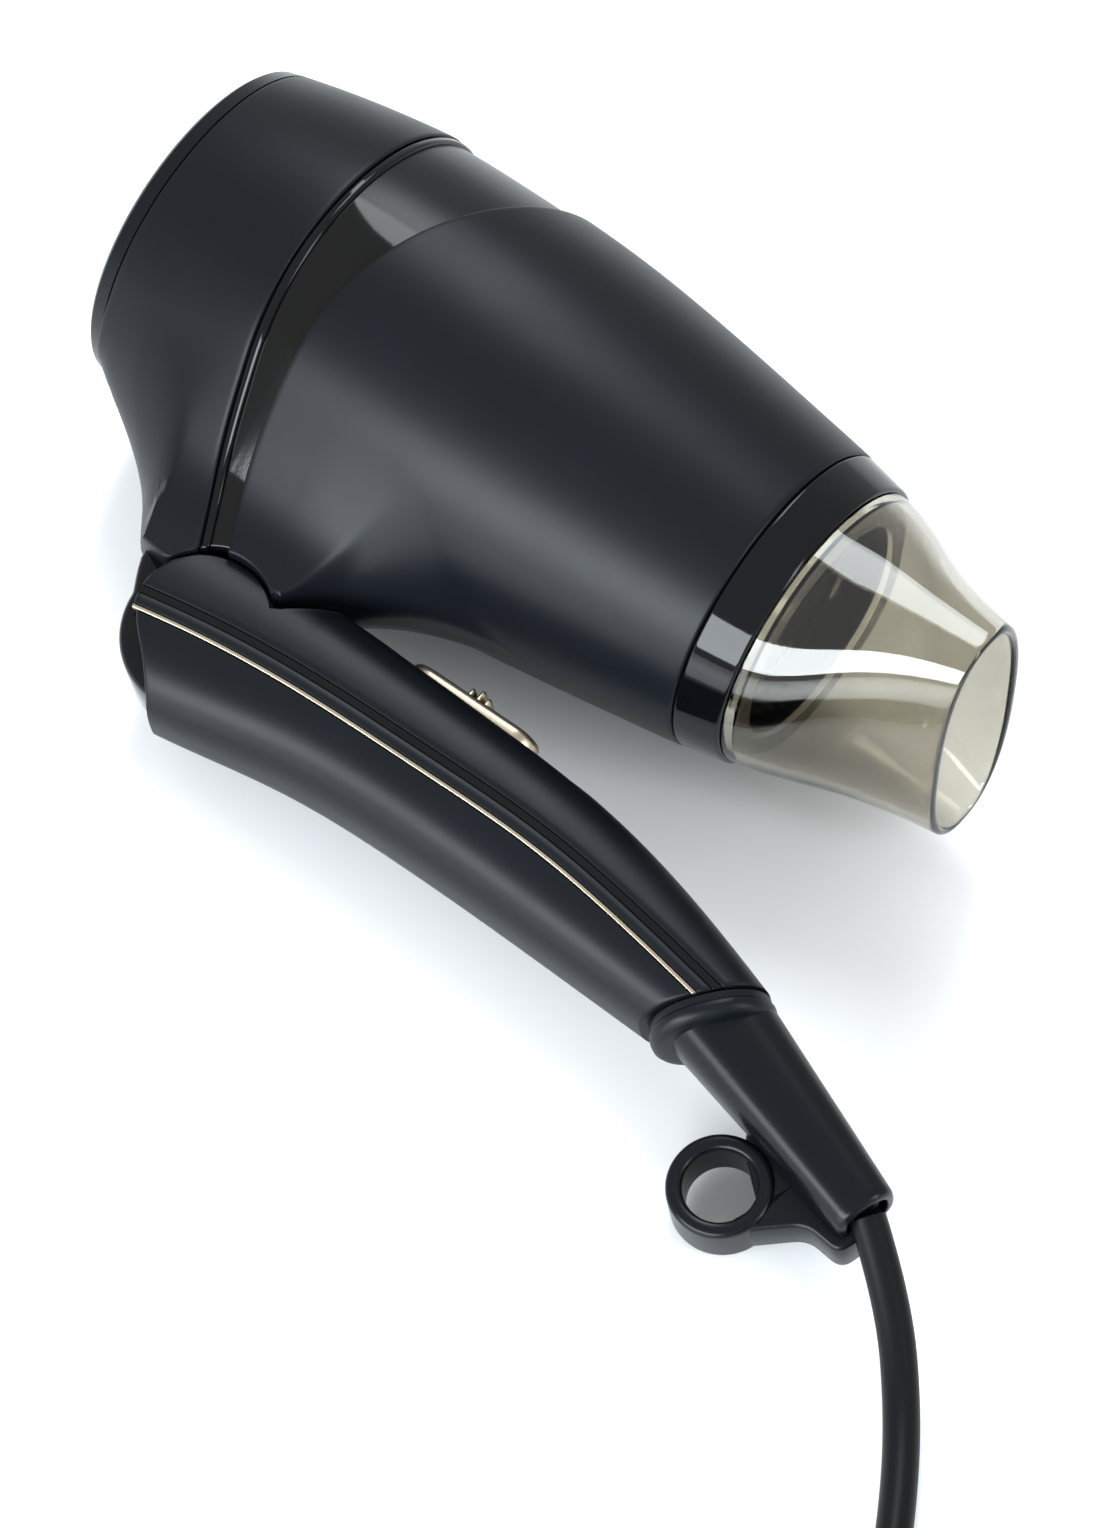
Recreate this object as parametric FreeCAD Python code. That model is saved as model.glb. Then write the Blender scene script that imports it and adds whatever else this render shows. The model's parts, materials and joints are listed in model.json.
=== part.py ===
"""Folding travel hair dryer, lying on its side with the handle folded under the barrel.

Everything is drawn with X along the barrel axis from the rear rim to the nozzle, Y up through
the barrel away from the handle, and Z across.  The finished pieces are then laid down: rolled
about the barrel axis until the hang loop meets the floor, with +Z up and the floor at Z = 0.
"""
import FreeCAD
import Part

import math
import os

from FreeCAD import Placement, Rotation, Vector

# ---------------------------------------------------------------- driving dimensions (mm)
WALL = 2.0                      # moulded shell thickness
GAP = 0.4                       # between moving bodies
RUN = 0.05                      # radial clearance of a running fit
NOZZLE_FIT = 0.08               # radial clearance of the nozzle's socket
# outer radius of the barrel at stations along its axis
BARREL = [(0.0, 34.1), (3.7, 35.0), (14.0, 37.3), (26.0, 39.4), (37.0, 40.8), (48.0, 41.2),
          (62.0, 41.2), (76.0, 40.8), (90.0, 39.7), (104.0, 38.0), (118.0, 36.0),
          (130.0, 34.2), (140.0, 32.6), (149.5, 30.7)]
COVER_X = 3.7                   # front of the intake cover
RING_X0, RING_X1 = 140.0, 149.5  # front ring
MOUTH_X = 187.2                 # outlet of the nozzle
MOUTH_LONG, MOUTH_SHORT, MOUTH_TURN = 62.6, 26.0, 12.0
NOZZLE_ROOT_R = 29.8            # nozzle where it leaves the front ring
NOZZLE_WALL = 1.8
BAND_DROP = 1.2                 # the band lies this much below the shells

PIVOT_X, PIVOT_Y = 57.3, -69.0  # fold hinge axis, across the dryer
HEAD_ARC = 13.6                 # round cut-out in the head shells
CHEEK_R = 13.2                  # handle cheeks that sit in it
KNUCKLE_R, KNUCKLE_HALF = 16.8, 7.3
HUB_HALF = 14.3                 # half width across the hub
PIN_R, PIN_HALF = 3.0, 12.4
FOLD_SHOULDER = 43.5            # direction of the mating shoulder, seen from the pivot

# handle sections: station, inner edge, spine, half width
HANDLE = [(40.0, -50.0, -91.2, 14.6), (60.0, -50.3, -88.6, 14.6), (85.0, -50.6, -84.3, 15.0),
          (112.0, -51.4, -82.8, 15.0), (140.0, -53.2, -83.1, 14.4), (165.0, -58.2, -83.8, 13.4),
          (190.0, -65.8, -84.4, 12.4)]
PARTING = [(36.0, -76.6), (60.0, -72.4), (85.0, -70.4), (110.0, -69.9), (137.0, -70.0),
           (160.0, -72.4), (192.0, -77.6)]
TRIM_W = 0.9                    # pinstripe inlay
INLAY_OFFSET, INLAY_W = 3.8, 1.9  # dark inlay beside it
END_FOOT, END_HEAD = (172.4, -82.8), (188.0, -64.8)   # oblique end of the handle
COLLAR_T = 5.0

RELIEF_DIR = -17.9              # direction of the strain relief
TIP_X, TIP_Y = 227.6, -88.7
RELIEF_R0, RELIEF_R1, RELIEF_LENGTH = 10.4, 6.2, 56.0
LOOP_X, LOOP_Y, LOOP_R, LOOP_HOLE = 201.3, -99.2, 10.2, 7.0
LOOP_Z0, LOOP_Z1 = -12.4, -1.0  # the loop lies against the underside of the strain relief

SLIDER_X0, SLIDER_X1 = 92.0, 122.0
SLIDER_TRAVEL = 9.0
BEZEL_X0, BEZEL_X1 = 84.6, 139.6

CORD_R = 3.5
ROLL = 15.4                     # roll about the barrel axis when lying down
FLOOR_DROP = 41.24              # the barrel's largest radius
ORIGIN_X, ORIGIN_Y = 115.2, -32.0   # bottom centre of the dryer, in the laid down frame

# lead, in the laid down frame: route of the free stretch, then the wound ring
COIL_X, COIL_Y, COIL_INNER, COIL_OUTER, COIL_HEIGHT = 210.0, -138.0, 16.3, 45.1, 13.4
TOP_TURN_R = 41.5               # the last part turn, on top of the ring
TOP_TURN_Z = 17.0
TOP_BEND_R = 17.0               # bend that brings the plug across the ring
TOP_BEND_ANGLE = 225.0
NECK_Y = -17.4                  # from the ring's centre to the plug's neck
PLUG_Z = 20.8
NECK_LENGTH = 20.0
PLUG_LENGTH = 32.0
PIN_RADIUS, PIN_LENGTH, PIN_SPACING = 2.0, 19.0, 18.6

AXIS = Vector(1, 0, 0)
ACROSS = Vector(0, 0, 1)
PARTS = {}


# ---------------------------------------------------------------- shape helpers
def spline(points):
    """Smooth edge through points (x, y)."""
    curve = Part.BSplineCurve()
    curve.interpolate([Vector(x, y, 0) for x, y in points])
    return curve.toShape()


def polygon(points):
    return Part.makePolygon([Vector(x, y, 0) for x, y in points])


def closed_face(edge, points):
    """Face between a smooth edge and the straight run of points that closes it."""
    start, end = edge.Vertexes[0].Point, edge.Vertexes[-1].Point
    run = [end] + [Vector(x, y, 0) for x, y in points] + [start]
    return Part.Face(Part.Wire([edge] + Part.makePolygon(run).Edges))


def across(face, half):
    """Prism of a side outline, from -half to +half."""
    moved = face.copy()
    moved.translate(Vector(0, 0, -half))
    return moved.extrude(Vector(0, 0, 2 * half))


def outline(points, half):
    return across(Part.Face(polygon(points + points[:1])), half)


def disc(x, y, radius, half):
    """Cylinder across the dryer."""
    return Part.makeCylinder(radius, 2 * half, Vector(x, y, -half), ACROSS)


def tube(x0, x1, outer, inner=0.0, y=0.0, z=0.0):
    """Cylinder or tube along the barrel axis."""
    body = Part.makeCylinder(outer, x1 - x0, Vector(x0, y, z), AXIS)
    if inner:
        body = body.cut(Part.makeCylinder(inner, x1 - x0, Vector(x0, y, z), AXIS))
    return body


def box(x0, x1, y0, y1, z0, z1):
    return Part.makeBox(x1 - x0, y1 - y0, z1 - z0, Vector(x0, y0, z0))


def turned(points):
    """Solid of revolution about the barrel axis of a closed outline (x, r)."""
    face = Part.Face(polygon(points + points[:1]))
    return face.revolve(Vector(0, 0, 0), AXIS, 360)


def barrel_solid(inset):
    """Solid barrel, its radius reduced by inset."""
    edge = spline([(x, r - inset) for x, r in BARREL])
    last = BARREL[-1][0]
    return closed_face(edge, [(last, 0.0), (0.0, 0.0)]).revolve(Vector(0, 0, 0), AXIS, 360)


def barrel_radius(x):
    for (x0, r0), (x1, r1) in zip(BARREL, BARREL[1:]):
        if x <= x1:
            return r0 + (r1 - r0) * (x - x0) / (x1 - x0)
    return BARREL[-1][1]


def oval(x, middle, half_y, half_z, power=2.5, turn=0.0, count=20):
    """Closed superellipse wire in the plane at station x."""
    points = []
    for i in range(count):
        a = 2 * math.pi * i / count
        c, s = math.cos(a), math.sin(a)
        y = half_y * math.copysign(abs(c) ** (2 / power), c)
        z = half_z * math.copysign(abs(s) ** (2 / power), s)
        t = math.radians(turn)
        points.append(Vector(x, middle + y * math.cos(t) + z * math.sin(t),
                             z * math.cos(t) - y * math.sin(t)))
    curve = Part.BSplineCurve()
    curve.interpolate(points, PeriodicFlag=True)
    return Part.Wire(curve.toShape())


def along(angle, distance, x=0.0, y=0.0):
    """Point at a distance from (x, y) in the direction angle, in the side view."""
    a = math.radians(angle)
    return Vector(x + distance * math.cos(a), y + distance * math.sin(a), 0)


def add(name, shape):
    """Keep a finished piece, cleaned of leftovers."""
    solids = [s for s in shape.Solids if s.Volume > 0.5]
    PARTS[name] = solids[0] if len(solids) == 1 else Part.makeCompound(solids)


# ---------------------------------------------------------------- head: shells
def housing_edge():
    """Front edge of the rear housing, top to hub."""
    return [(37.5, 60.0), (35.6, 34.0), (35.2, 12.0), (35.9, -12.0), (38.3, -29.6),
            (42.3, -45.0), (48.5, -58.5), (53.0, -68.0)]


def shell_edge():
    """Rear edge of the barrel shell, top to hub."""
    return [(83.6, 60.0), (68.6, 41.0), (61.0, 29.0), (53.4, 12.8), (49.1, -0.5), (46.7, -14.0),
            (46.3, -28.0), (48.2, -43.0), (53.5, -55.8), (59.0, -68.0)]


def behind(points):
    """Everything to the rear of an edge."""
    return across(closed_face(spline(points), [(points[-1][0], -120.0), (-20.0, -120.0),
                                               (-20.0, 60.0)]), 60.0)


def neck(inset):
    """Neck that joins the barrel to the hub, reduced by inset."""
    side = [(4.0 + inset, -16.0), (4.0 + inset, -26.0), (7.0 + inset, -36.0),
            (16.0 + inset, -42.4), (25.4 + inset, -49.0), (32.0 + inset, -56.0),
            (35.6 + inset, -62.0), (44.2, -63.2), (57.0, -70.0), (67.4 - inset, -59.4),
            (77.0 - inset, -50.2), (84.0 - inset, -45.4), (89.0 - inset, -38.0),
            (92.0 - inset, -26.0), (92.0 - inset, -16.0)]
    front = [(-16.0, 28.0 - inset), (-27.0, 28.0 - inset), (-34.0, 23.4 - inset),
             (-42.0, 18.2 - inset), (-50.0, 15.2 - inset), (-58.0, HUB_HALF - inset),
             (-80.0, HUB_HALF - inset)]
    ring = [(y, z) for y, z in front] + [(y, -z) for y, z in reversed(front)]
    wire = Part.makePolygon([Vector(0, y, z) for y, z in ring + ring[:1]])
    return outline(side, 40.0).common(Part.Face(wire).extrude(Vector(110, 0, 0)))


def head_envelope(inset):
    return barrel_solid(inset).fuse(neck(inset))


def knuckle_solid():
    """Round hinge eye and the root that runs up into the neck."""
    root = outline([(36.4, -62.4), (38.9, -65.8), (40.8, -68.4), (57.0, -70.0), (66.0, -60.0),
                    (66.0, -50.5), (39.0, -50.5)], KNUCKLE_HALF)
    return root.fuse(disc(PIVOT_X, PIVOT_Y, KNUCKLE_R, KNUCKLE_HALF)).removeSplitter()


def build_head_shells():
    cavity = head_envelope(WALL)
    arc = disc(PIVOT_X, PIVOT_Y, HEAD_ARC, 40.0)
    knuckle = knuckle_solid()
    bore = disc(PIVOT_X, PIVOT_Y, PIN_R + RUN, 20.0)
    add("hinge_knuckle", knuckle.cut(bore))

    shell = head_envelope(0.0).cut(cavity).cut(arc).cut(knuckle)
    ends = tube(COVER_X, RING_X0, 80.0)
    rear, front = behind(housing_edge()), behind(shell_edge())
    add("rear_housing", shell.common(rear).common(ends))
    add("barrel_shell", shell.cut(front).common(ends))

    band = head_envelope(BAND_DROP).cut(head_envelope(BAND_DROP + WALL)).cut(arc).cut(knuckle)
    add("gloss_band", band.common(front).cut(rear))
    ring = [(RING_X0, 25.0), (RING_X0, barrel_radius(RING_X0)), (RING_X1 - 1.0, 30.0),
            (RING_X1, 29.2), (RING_X1, 25.0)]
    add("front_ring", turned(ring))


def build_intake():
    """Cover ring with its round holed grille, and the lint mesh behind it."""
    rim = turned([(0.6, 28.0), (0.0, 29.0), (0.0, 33.4), (0.7, 34.2), (COVER_X, 35.0),
                  (COVER_X, 33.0), (2.6, 32.6), (2.6, 28.0)])
    plate = tube(0.8, 2.6, 28.0)
    holes = [tube(0.0, 4.0, 1.25)]
    for row in range(1, 8):
        count = 6 * row
        for i in range(count):
            a = 2 * math.pi * i / count
            radius = 3.6 * row
            holes.append(tube(0.0, 4.0, 1.25, y=radius * math.cos(a), z=radius * math.sin(a)))
    add("intake_cover", rim.fuse(plate.cut(Part.makeCompound(holes))))
    mesh = tube(4.4, 5.0, 30.8)
    slots = [box(4.0, 6.0, y - 0.9, y + 0.9, -math.sqrt(29.0 ** 2 - y * y),
                 math.sqrt(29.0 ** 2 - y * y)) for y in range(-27, 28, 3)]
    add("lint_mesh", mesh.cut(Part.makeCompound(slots)).fuse(tube(4.4, 5.0, 1.5)))
    add("mesh_frame", tube(3.9, 7.0, 32.0, 30.8))


# ---------------------------------------------------------------- head: airway and heater
def build_motor():
    """Fan, motor and the vaned holder that carries them in the duct."""
    add("fan_duct", tube(12.0, 60.0, 30.6, 29.2))
    blades = []
    for i in range(7):
        blade = box(14.0, 26.0, 8.6, 28.0, -0.7, 0.7)
        blade.rotate(Vector(20.0, 0, 0), Vector(0, 1, 0), 38)
        blade.rotate(Vector(0, 0, 0), AXIS, 360.0 * i / 7)
        blades.append(blade)
    hub = tube(13.0, 27.0, 9.0, 1.5)
    nose = Part.makeSphere(9.0, Vector(13.0, 0, 0)).common(box(8.5, 13.0, -10, 10, -10, 10))
    fan = hub.fuse(nose.cut(tube(0.0, 14.0, 1.5))).fuse(blades)
    add("fan_impeller", fan.common(tube(0.0, 60.0, 28.4, 1.5)))
    add("motor_shaft", tube(10.0, 31.0, 1.5))
    add("motor_can", tube(31.0 + GAP, 55.0, 12.0))
    vanes = []
    for i in range(9):
        vane = box(33.0, 52.0, 12.5, 29.2, -0.6, 0.6)
        vane.rotate(Vector(0, 0, 0), AXIS, 360.0 * i / 9)
        vanes.append(vane)
    holder = tube(31.4, 57.0, 13.4, 12.0).fuse(vanes)
    add("motor_holder", holder.common(tube(0.0, 80.0, 29.2)))
    add("motor_terminals", Part.makeCompound([box(55.0, 58.0, s * 6 - 1.2, s * 6 + 1.2, -0.4, 0.4)
                                              for s in (-1, 1)]))


def build_heater():
    """Mica tube with crossed boards that carry the winding, and its two cut-outs."""
    add("heat_shield", tube(60.0, 136.0, 28.2, 27.4))
    flat = box(64.0, 128.0, -0.5, 0.5, -27.2, 27.2)
    upright = [box(64.0, 128.0, 0.5, 27.2, -0.5, 0.5), box(64.0, 128.0, -27.2, -0.5, -0.5, 0.5)]
    turns = []
    for i in range(9):
        torus = Part.makeTorus(20.0, 0.7, Vector(72.0 + 6.0 * i, 0, 0), AXIS)
        turns.append(torus)
    notches = [tube(x.CenterOfMass.x - 0.9, x.CenterOfMass.x + 0.9, 20.9, 19.1) for x in turns]
    notch = Part.makeCompound(notches)
    add("mica_board_flat", flat.cut(notch))
    add("mica_boards_upright", Part.makeCompound([u.cut(notch) for u in upright]))
    add("heater_winding", Part.makeCompound(turns))
    add("thermostat", box(124.0, 127.4, 1.0, 8.0, 1.0, 12.0))
    add("thermal_fuse", tube(70.0, 80.0, 1.6, y=-6.0, z=-6.0))
    spokes = [box(137.0, 139.4, -26.9, 26.9, z - 0.6, z + 0.6) for z in (-18, -12, -6, 0, 6, 12, 18)]
    rings = tube(137.0, 139.4, 29.4, 26.4)
    bars = Part.makeCompound(spokes).common(tube(137.0, 139.4, 26.8))
    tie = box(137.0, 139.4, -0.6, 0.6, -26.8, 26.8)
    add("outlet_grille", rings.fuse(bars.Solids).fuse(tie))


def build_nozzle():
    """Concentrator: round socket, swept to a wide oval mouth."""
    def skin(inset):
        round_r = NOZZLE_ROOT_R - inset
        wires = [oval(RING_X1 + 0.3, 0, round_r, round_r, 2.0),
                 oval(RING_X1 + 5.0, 0, round_r - 1.2, round_r, 2.0, MOUTH_TURN),
                 oval(168.0, 0, 21.0 - inset, 30.3 - inset, 2.15, MOUTH_TURN),
                 oval(MOUTH_X, 0, MOUTH_SHORT / 2 - inset, MOUTH_LONG / 2 - inset, 2.4,
                      MOUTH_TURN)]
        return Part.makeLoft(wires, True, False)
    cone = skin(0.0).cut(skin(NOZZLE_WALL))
    socket = tube(142.0, RING_X1 + 0.3, 24.6, 23.0)
    flange = tube(RING_X1 + 0.3, RING_X1 + 1.6, 28.6, 23.0)
    add("nozzle", cone.fuse(flange).fuse(socket))
    seat = tube(RING_X0, RING_X1, 25.0, 24.6 + NOZZLE_FIT)
    PARTS["front_ring"] = PARTS["front_ring"].fuse(seat).removeSplitter()


# ---------------------------------------------------------------- handle
def handle_solid(inset):
    wires = [oval(x, (top + bottom) / 2, (top - bottom) / 2 - inset, half - inset, 2.6)
             for x, top, bottom, half in HANDLE]
    return Part.makeLoft(wires, True, False)


def handle_outline(inset):
    """Side outline: hub disc, shoulder, oblique end and heel."""
    foot, head = Vector(*END_FOOT, 0), Vector(*END_HEAD, 0)
    slope = (head - foot).normalize()
    normal = Vector(slope.y, -slope.x, 0)
    low = foot - slope * 12 - normal * inset
    high = head + slope * 14 - normal * inset
    hip = along(FOLD_SHOULDER - 1.6, 11.0, PIVOT_X, PIVOT_Y)
    brow = along(FOLD_SHOULDER - 1.6, 36.0, PIVOT_X, PIVOT_Y)
    body = outline([(hip.x, hip.y), (brow.x, brow.y), (high.x, high.y), (low.x, low.y),
                    (58.3 + inset, -96.0), (58.3 + inset, -89.0), (55.6 + inset, -85.0),
                    (51.6 + inset, -80.6), (48.0 + inset, -77.4)], 20.0)
    return body.fuse(disc(PIVOT_X, PIVOT_Y, CHEEK_R - inset, 20.0))


def line_prism(offset, width):
    """Thin curved slab along the parting line."""
    upper = [(x, y + offset + width / 2) for x, y in PARTING]
    lower = [(x, y + offset - width / 2) for x, y in reversed(PARTING)]
    top, bottom = spline(upper), spline(lower)
    sides = [Part.makeLine(top.Vertexes[-1].Point, bottom.Vertexes[0].Point),
             Part.makeLine(bottom.Vertexes[-1].Point, top.Vertexes[0].Point)]
    return across(Part.Face(Part.Wire([top, sides[0], bottom, sides[1]])), 20.0)


def below_parting():
    return across(closed_face(spline(PARTING), [(192.0, -120.0), (36.0, -120.0)]), 20.0)


def build_handle():
    solid = handle_solid(0.0).common(handle_outline(0.0))
    slot = disc(PIVOT_X, PIVOT_Y, KNUCKLE_R + 0.6, KNUCKLE_HALF + GAP)
    solid = solid.cut(slot)
    hollow = handle_solid(WALL).common(handle_outline(WALL))
    hollow = hollow.cut(disc(PIVOT_X, PIVOT_Y, KNUCKLE_R + 2.6, 20.0))
    shell = solid.cut(hollow).cut(disc(PIVOT_X, PIVOT_Y, PIN_R, PIN_HALF))
    relief = relief_cone(RELIEF_R0, RELIEF_R1, RELIEF_LENGTH)
    shell = shell.cut(relief).cut(relief_cone(CORD_R, CORD_R, RELIEF_LENGTH + 12.0))

    skin = handle_solid(0.8)
    trim = line_prism(0.0, TRIM_W).cut(skin)
    inlay = line_prism(INLAY_OFFSET, INLAY_W).cut(skin)
    for name, cutter in (("trim_strip", trim), ("dark_inlay", inlay)):
        piece = shell.common(cutter)
        for side, sign in (("left", 1), ("right", -1)):
            half = box(30, 200, -100, -40, 0 if sign > 0 else -20, 20 if sign > 0 else 0)
            add(name + "_" + side, piece.common(half))
        shell = shell.cut(cutter)

    seat = bezel_solid(0.0)
    shell = shell.cut(seat)
    low = below_parting()
    add("spine_shell", shell.common(low))
    add("grip_shell", shell.cut(low))
    add("pivot_pin", disc(PIVOT_X, PIVOT_Y, PIN_R, PIN_HALF))
    washers = [tube_across(PIN_R + 0.1, 6.0, z, z + 0.3) for z in (-KNUCKLE_HALF - 0.35,
                                                                  KNUCKLE_HALF + 0.05)]
    add("friction_washers", Part.makeCompound(washers))


def tube_across(inner, outer, z0, z1):
    body = Part.makeCylinder(outer, z1 - z0, Vector(PIVOT_X, PIVOT_Y, z0), ACROSS)
    return body.cut(Part.makeCylinder(inner, z1 - z0, Vector(PIVOT_X, PIVOT_Y, z0), ACROSS))


# ---------------------------------------------------------------- switch
def stadium(x0, x1, half, y0, y1):
    """Upright prism with round ends, long along X."""
    middle = box(x0 + half, x1 - half, y0, y1, -half, half)
    ends = [Part.makeCylinder(half, y1 - y0, Vector(x, y0, 0), Vector(0, 1, 0))
            for x in (x0 + half, x1 - half)]
    return middle.fuse(ends).removeSplitter()


def bezel_solid(inset):
    return stadium(BEZEL_X0 + inset, BEZEL_X1 - inset, 7.6 - inset, -56.6 + inset, -46.0)


def build_switch():
    """Oval surround let into the grip, with the slide switch in it."""
    surround = bezel_solid(0.0).common(handle_solid(0.3))
    recess = stadium(SLIDER_X0 - 1.6, SLIDER_X1 + SLIDER_TRAVEL + 1.6, 5.6, -54.5, -46.0)
    slot = box(104.0, 104.0 + SLIDER_TRAVEL + 7.0, -60.0, -50.0, -1.6, 1.6)
    add("switch_bezel", surround.cut(recess).cut(slot))
    cap = stadium(SLIDER_X0, SLIDER_X1, 5.0, -54.2, -49.2)
    nub = disc((SLIDER_X0 + SLIDER_X1) / 2, -51.6, 4.4, 3.6)
    stem = box(105.5, 109.5, -58.6, -54.0, -1.2, 1.2)
    add("switch_slider", cap.fuse(nub.cut(box(80, 130, -60, -54.0, -9, 9))).fuse(stem))
    add("switch_module", box(98.0, 126.0, -70.0, -58.9, -6.0, 6.0))
    add("switch_screws", Part.makeCompound([
        Part.makeCylinder(1.3, 8.0, Vector(x, -66.0, 0), Vector(0, 1, 0)) for x in (92.0, 131.0)]))
    add("noise_capacitor", tube(134.0, 148.0, 4.0, y=-72.0))
    add("rectifier_board", box(66.0 + 14.0, 96.0, -78.0, -76.4, -8.0, 8.0))


# ---------------------------------------------------------------- end of the handle
def end_frame():
    foot, head = Vector(*END_FOOT, 0), Vector(*END_HEAD, 0)
    slope = (head - foot).normalize()
    return (foot + head) * 0.5, slope, Vector(slope.y, -slope.x, 0)


def relief_cone(r0, r1, back, ahead=0.0):
    """Cone on the strain relief's axis, from back behind its tip to ahead of it."""
    way = along(RELIEF_DIR, 1.0)
    start = Vector(TIP_X, TIP_Y, 0) - way * back
    if abs(r0 - r1) < 1e-6:
        return Part.makeCylinder(r0, back + ahead, start, way)
    return Part.makeCone(r0, r1, back + ahead, start, way)


def build_end():
    """Oblique end collar, strain relief, and the lead inside them."""
    middle, slope, normal = end_frame()
    half = (Vector(*END_HEAD, 0) - Vector(*END_FOOT, 0)).Length / 2
    turn = Rotation(Vector(0, 1, 0), slope)

    def plate(shift, grow, thick):
        face = Part.Face(oval(0.0, 0.0, half + grow, 12.6 + grow, 2.3))
        face.Placement = Placement(middle + normal * shift, turn)
        return face.extrude(normal * thick)
    relief = relief_cone(RELIEF_R0, RELIEF_R1, RELIEF_LENGTH)
    bore = relief_cone(CORD_R, CORD_R, RELIEF_LENGTH + 1.0, 1.0)
    mouth = relief_cone(CORD_R, CORD_R + 1.3, 3.0)
    ring = plate(0.3, -0.3, 1.6).fuse(plate(1.9, 0.5, COLLAR_T - 1.9))
    add("end_collar", ring.cut(relief))
    add("strain_relief", relief.cut(bore).cut(mouth))
    add("lead_inner", relief_cone(CORD_R, CORD_R, RELIEF_LENGTH + 8.0, -1.3))


def build_loop():
    """Hang loop: thick ring on a flat web that runs under the strain relief to its tip."""
    def slab(shape, low, high):
        return shape.common(box(150.0, 260.0, -140.0, -60.0, low, high))
    way, side = along(RELIEF_DIR, 1.0), along(RELIEF_DIR + 90.0, 1.0)
    tip = Vector(TIP_X, TIP_Y, 0)
    corners = [tip + way * a + side * p for a, p in ((2.0, -8.4), (2.0, 3.0), (-2.0, 4.4),
                                                     (-34.0, 3.0), (-34.0, -4.0))]
    web = outline([(c.x, c.y) for c in corners] + [(LOOP_X + 3.0, LOOP_Y - 9.2),
                                                   (tip.x - 9.0, tip.y - 7.4)], 20.0)
    ring = slab(disc(LOOP_X, LOOP_Y, LOOP_R, 20.0), LOOP_Z0, LOOP_Z1)
    body = slab(web, LOOP_Z0 + 0.6, LOOP_Z1 - 1.0).fuse(ring)
    hole = disc(LOOP_X, LOOP_Y, LOOP_HOLE, 20.0)
    taper = relief_cone(RELIEF_R0, RELIEF_R1, RELIEF_LENGTH)
    groove = relief_cone(CORD_R + 1.4, CORD_R + 3.0, 1.0, 6.0)
    add("hang_loop", body.cut(hole).cut(taper).cut(groove))


def build_fasteners():
    """Screws of the head and the handle, and the clamp on the lead."""
    heads = []
    for x, y in ((30.0, -45.0), (70.0, -48.0)):
        heads.append(disc(x, y, 1.5, 9.0))
    add("neck_screws", Part.makeCompound(heads))
    add("handle_screws", Part.makeCompound([disc(x, y, 1.4, 9.0) for x, y in ((82.0, -66.0),
                                                                          (158.0, -69.0))]))
    add("lead_clamp", box(160.0, 168.0, -78.6, -75.6, -8.0, 8.0))


# ---------------------------------------------------------------- lead, in the laid down frame
def lead_route():
    """Route of the free stretch: out of the relief, down to the floor and away to the ring."""
    return [(112.4, -53.5, 17.4), (125.0, -61.5, 11.2), (138.5, -76.0, 4.6), (149.5, -92.5, 3.6),
            (158.7, -109.8, 3.6), (165.3, -127.8, 3.6), (168.7, -142.8, 3.6)]


def rounded_path(points):
    """Straight runs joined by tangent arcs as large as the runs allow."""
    points = [Vector(*p) for p in points]
    edges, at = [], points[0]
    for before, corner, after in zip(points, points[1:], points[2:]):
        come, leave = (corner - before), (after - corner)
        half_turn = come.getAngle(leave) / 2
        trim = 0.45 * min(come.Length, leave.Length)
        print("lead radius %.1f mm, turn %.0f" % (trim / math.tan(half_turn),
                                                  math.degrees(2 * half_turn)))
        start = corner - come.normalize() * trim
        end = corner + leave.normalize() * trim
        inward = ((start + end) * 0.5 - corner).normalize()
        radius = trim / math.tan(half_turn)
        middle = corner + inward * (math.hypot(radius, trim) - radius)
        edges.append(Part.makeLine(at, start))
        edges.append(Part.Arc(start, middle, end).toShape())
        at = end
    edges.append(Part.makeLine(at, points[-1]))
    return Part.Wire(edges)


def lead_tube(points):
    """Lead swept along a rounded path."""
    path = rounded_path(points)
    first = Vector(*points[1]) - Vector(*points[0])
    cord = path.makePipeShell([Part.Wire(Part.makeCircle(CORD_R, Vector(*points[0]), first))],
                              True, False)
    print("lead tube length %.1f mm, volume ratio %.4f"
          % (path.Length, cord.Volume / (math.pi * CORD_R ** 2 * path.Length)))
    return cord


def tail_route():
    """Last part turn on top of the ring, then the bend that heads the plug across it."""
    def corner(middle_x, middle_y, radius, angle, half_step, height):
        turn, reach = math.radians(angle), radius / math.cos(math.radians(half_step))
        return (middle_x + reach * math.cos(turn), middle_y + reach * math.sin(turn), height)
    step, bend_step = 29.2, 45.0
    points = [corner(COIL_X, COIL_Y, TOP_TURN_R, TOP_BEND_ANGLE - step * (3.5 - i), step / 2, height)
              for i, height in enumerate((6.6, 11.2, TOP_TURN_Z - 1.4, TOP_TURN_Z))]
    start, away = math.radians(TOP_BEND_ANGLE), TOP_TURN_R - TOP_BEND_R
    middle = (COIL_X + away * math.cos(start), COIL_Y + away * math.sin(start))
    rise = PLUG_Z - TOP_TURN_Z
    points += [corner(*middle, TOP_BEND_R, TOP_BEND_ANGLE + bend_step * (i + 0.5), bend_step / 2,
                      TOP_TURN_Z + rise * share) for i, share in enumerate((0.15, 0.5, 0.85))]
    points.append((COIL_X, COIL_Y + NECK_Y + 7.0, PLUG_Z))
    return points


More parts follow.
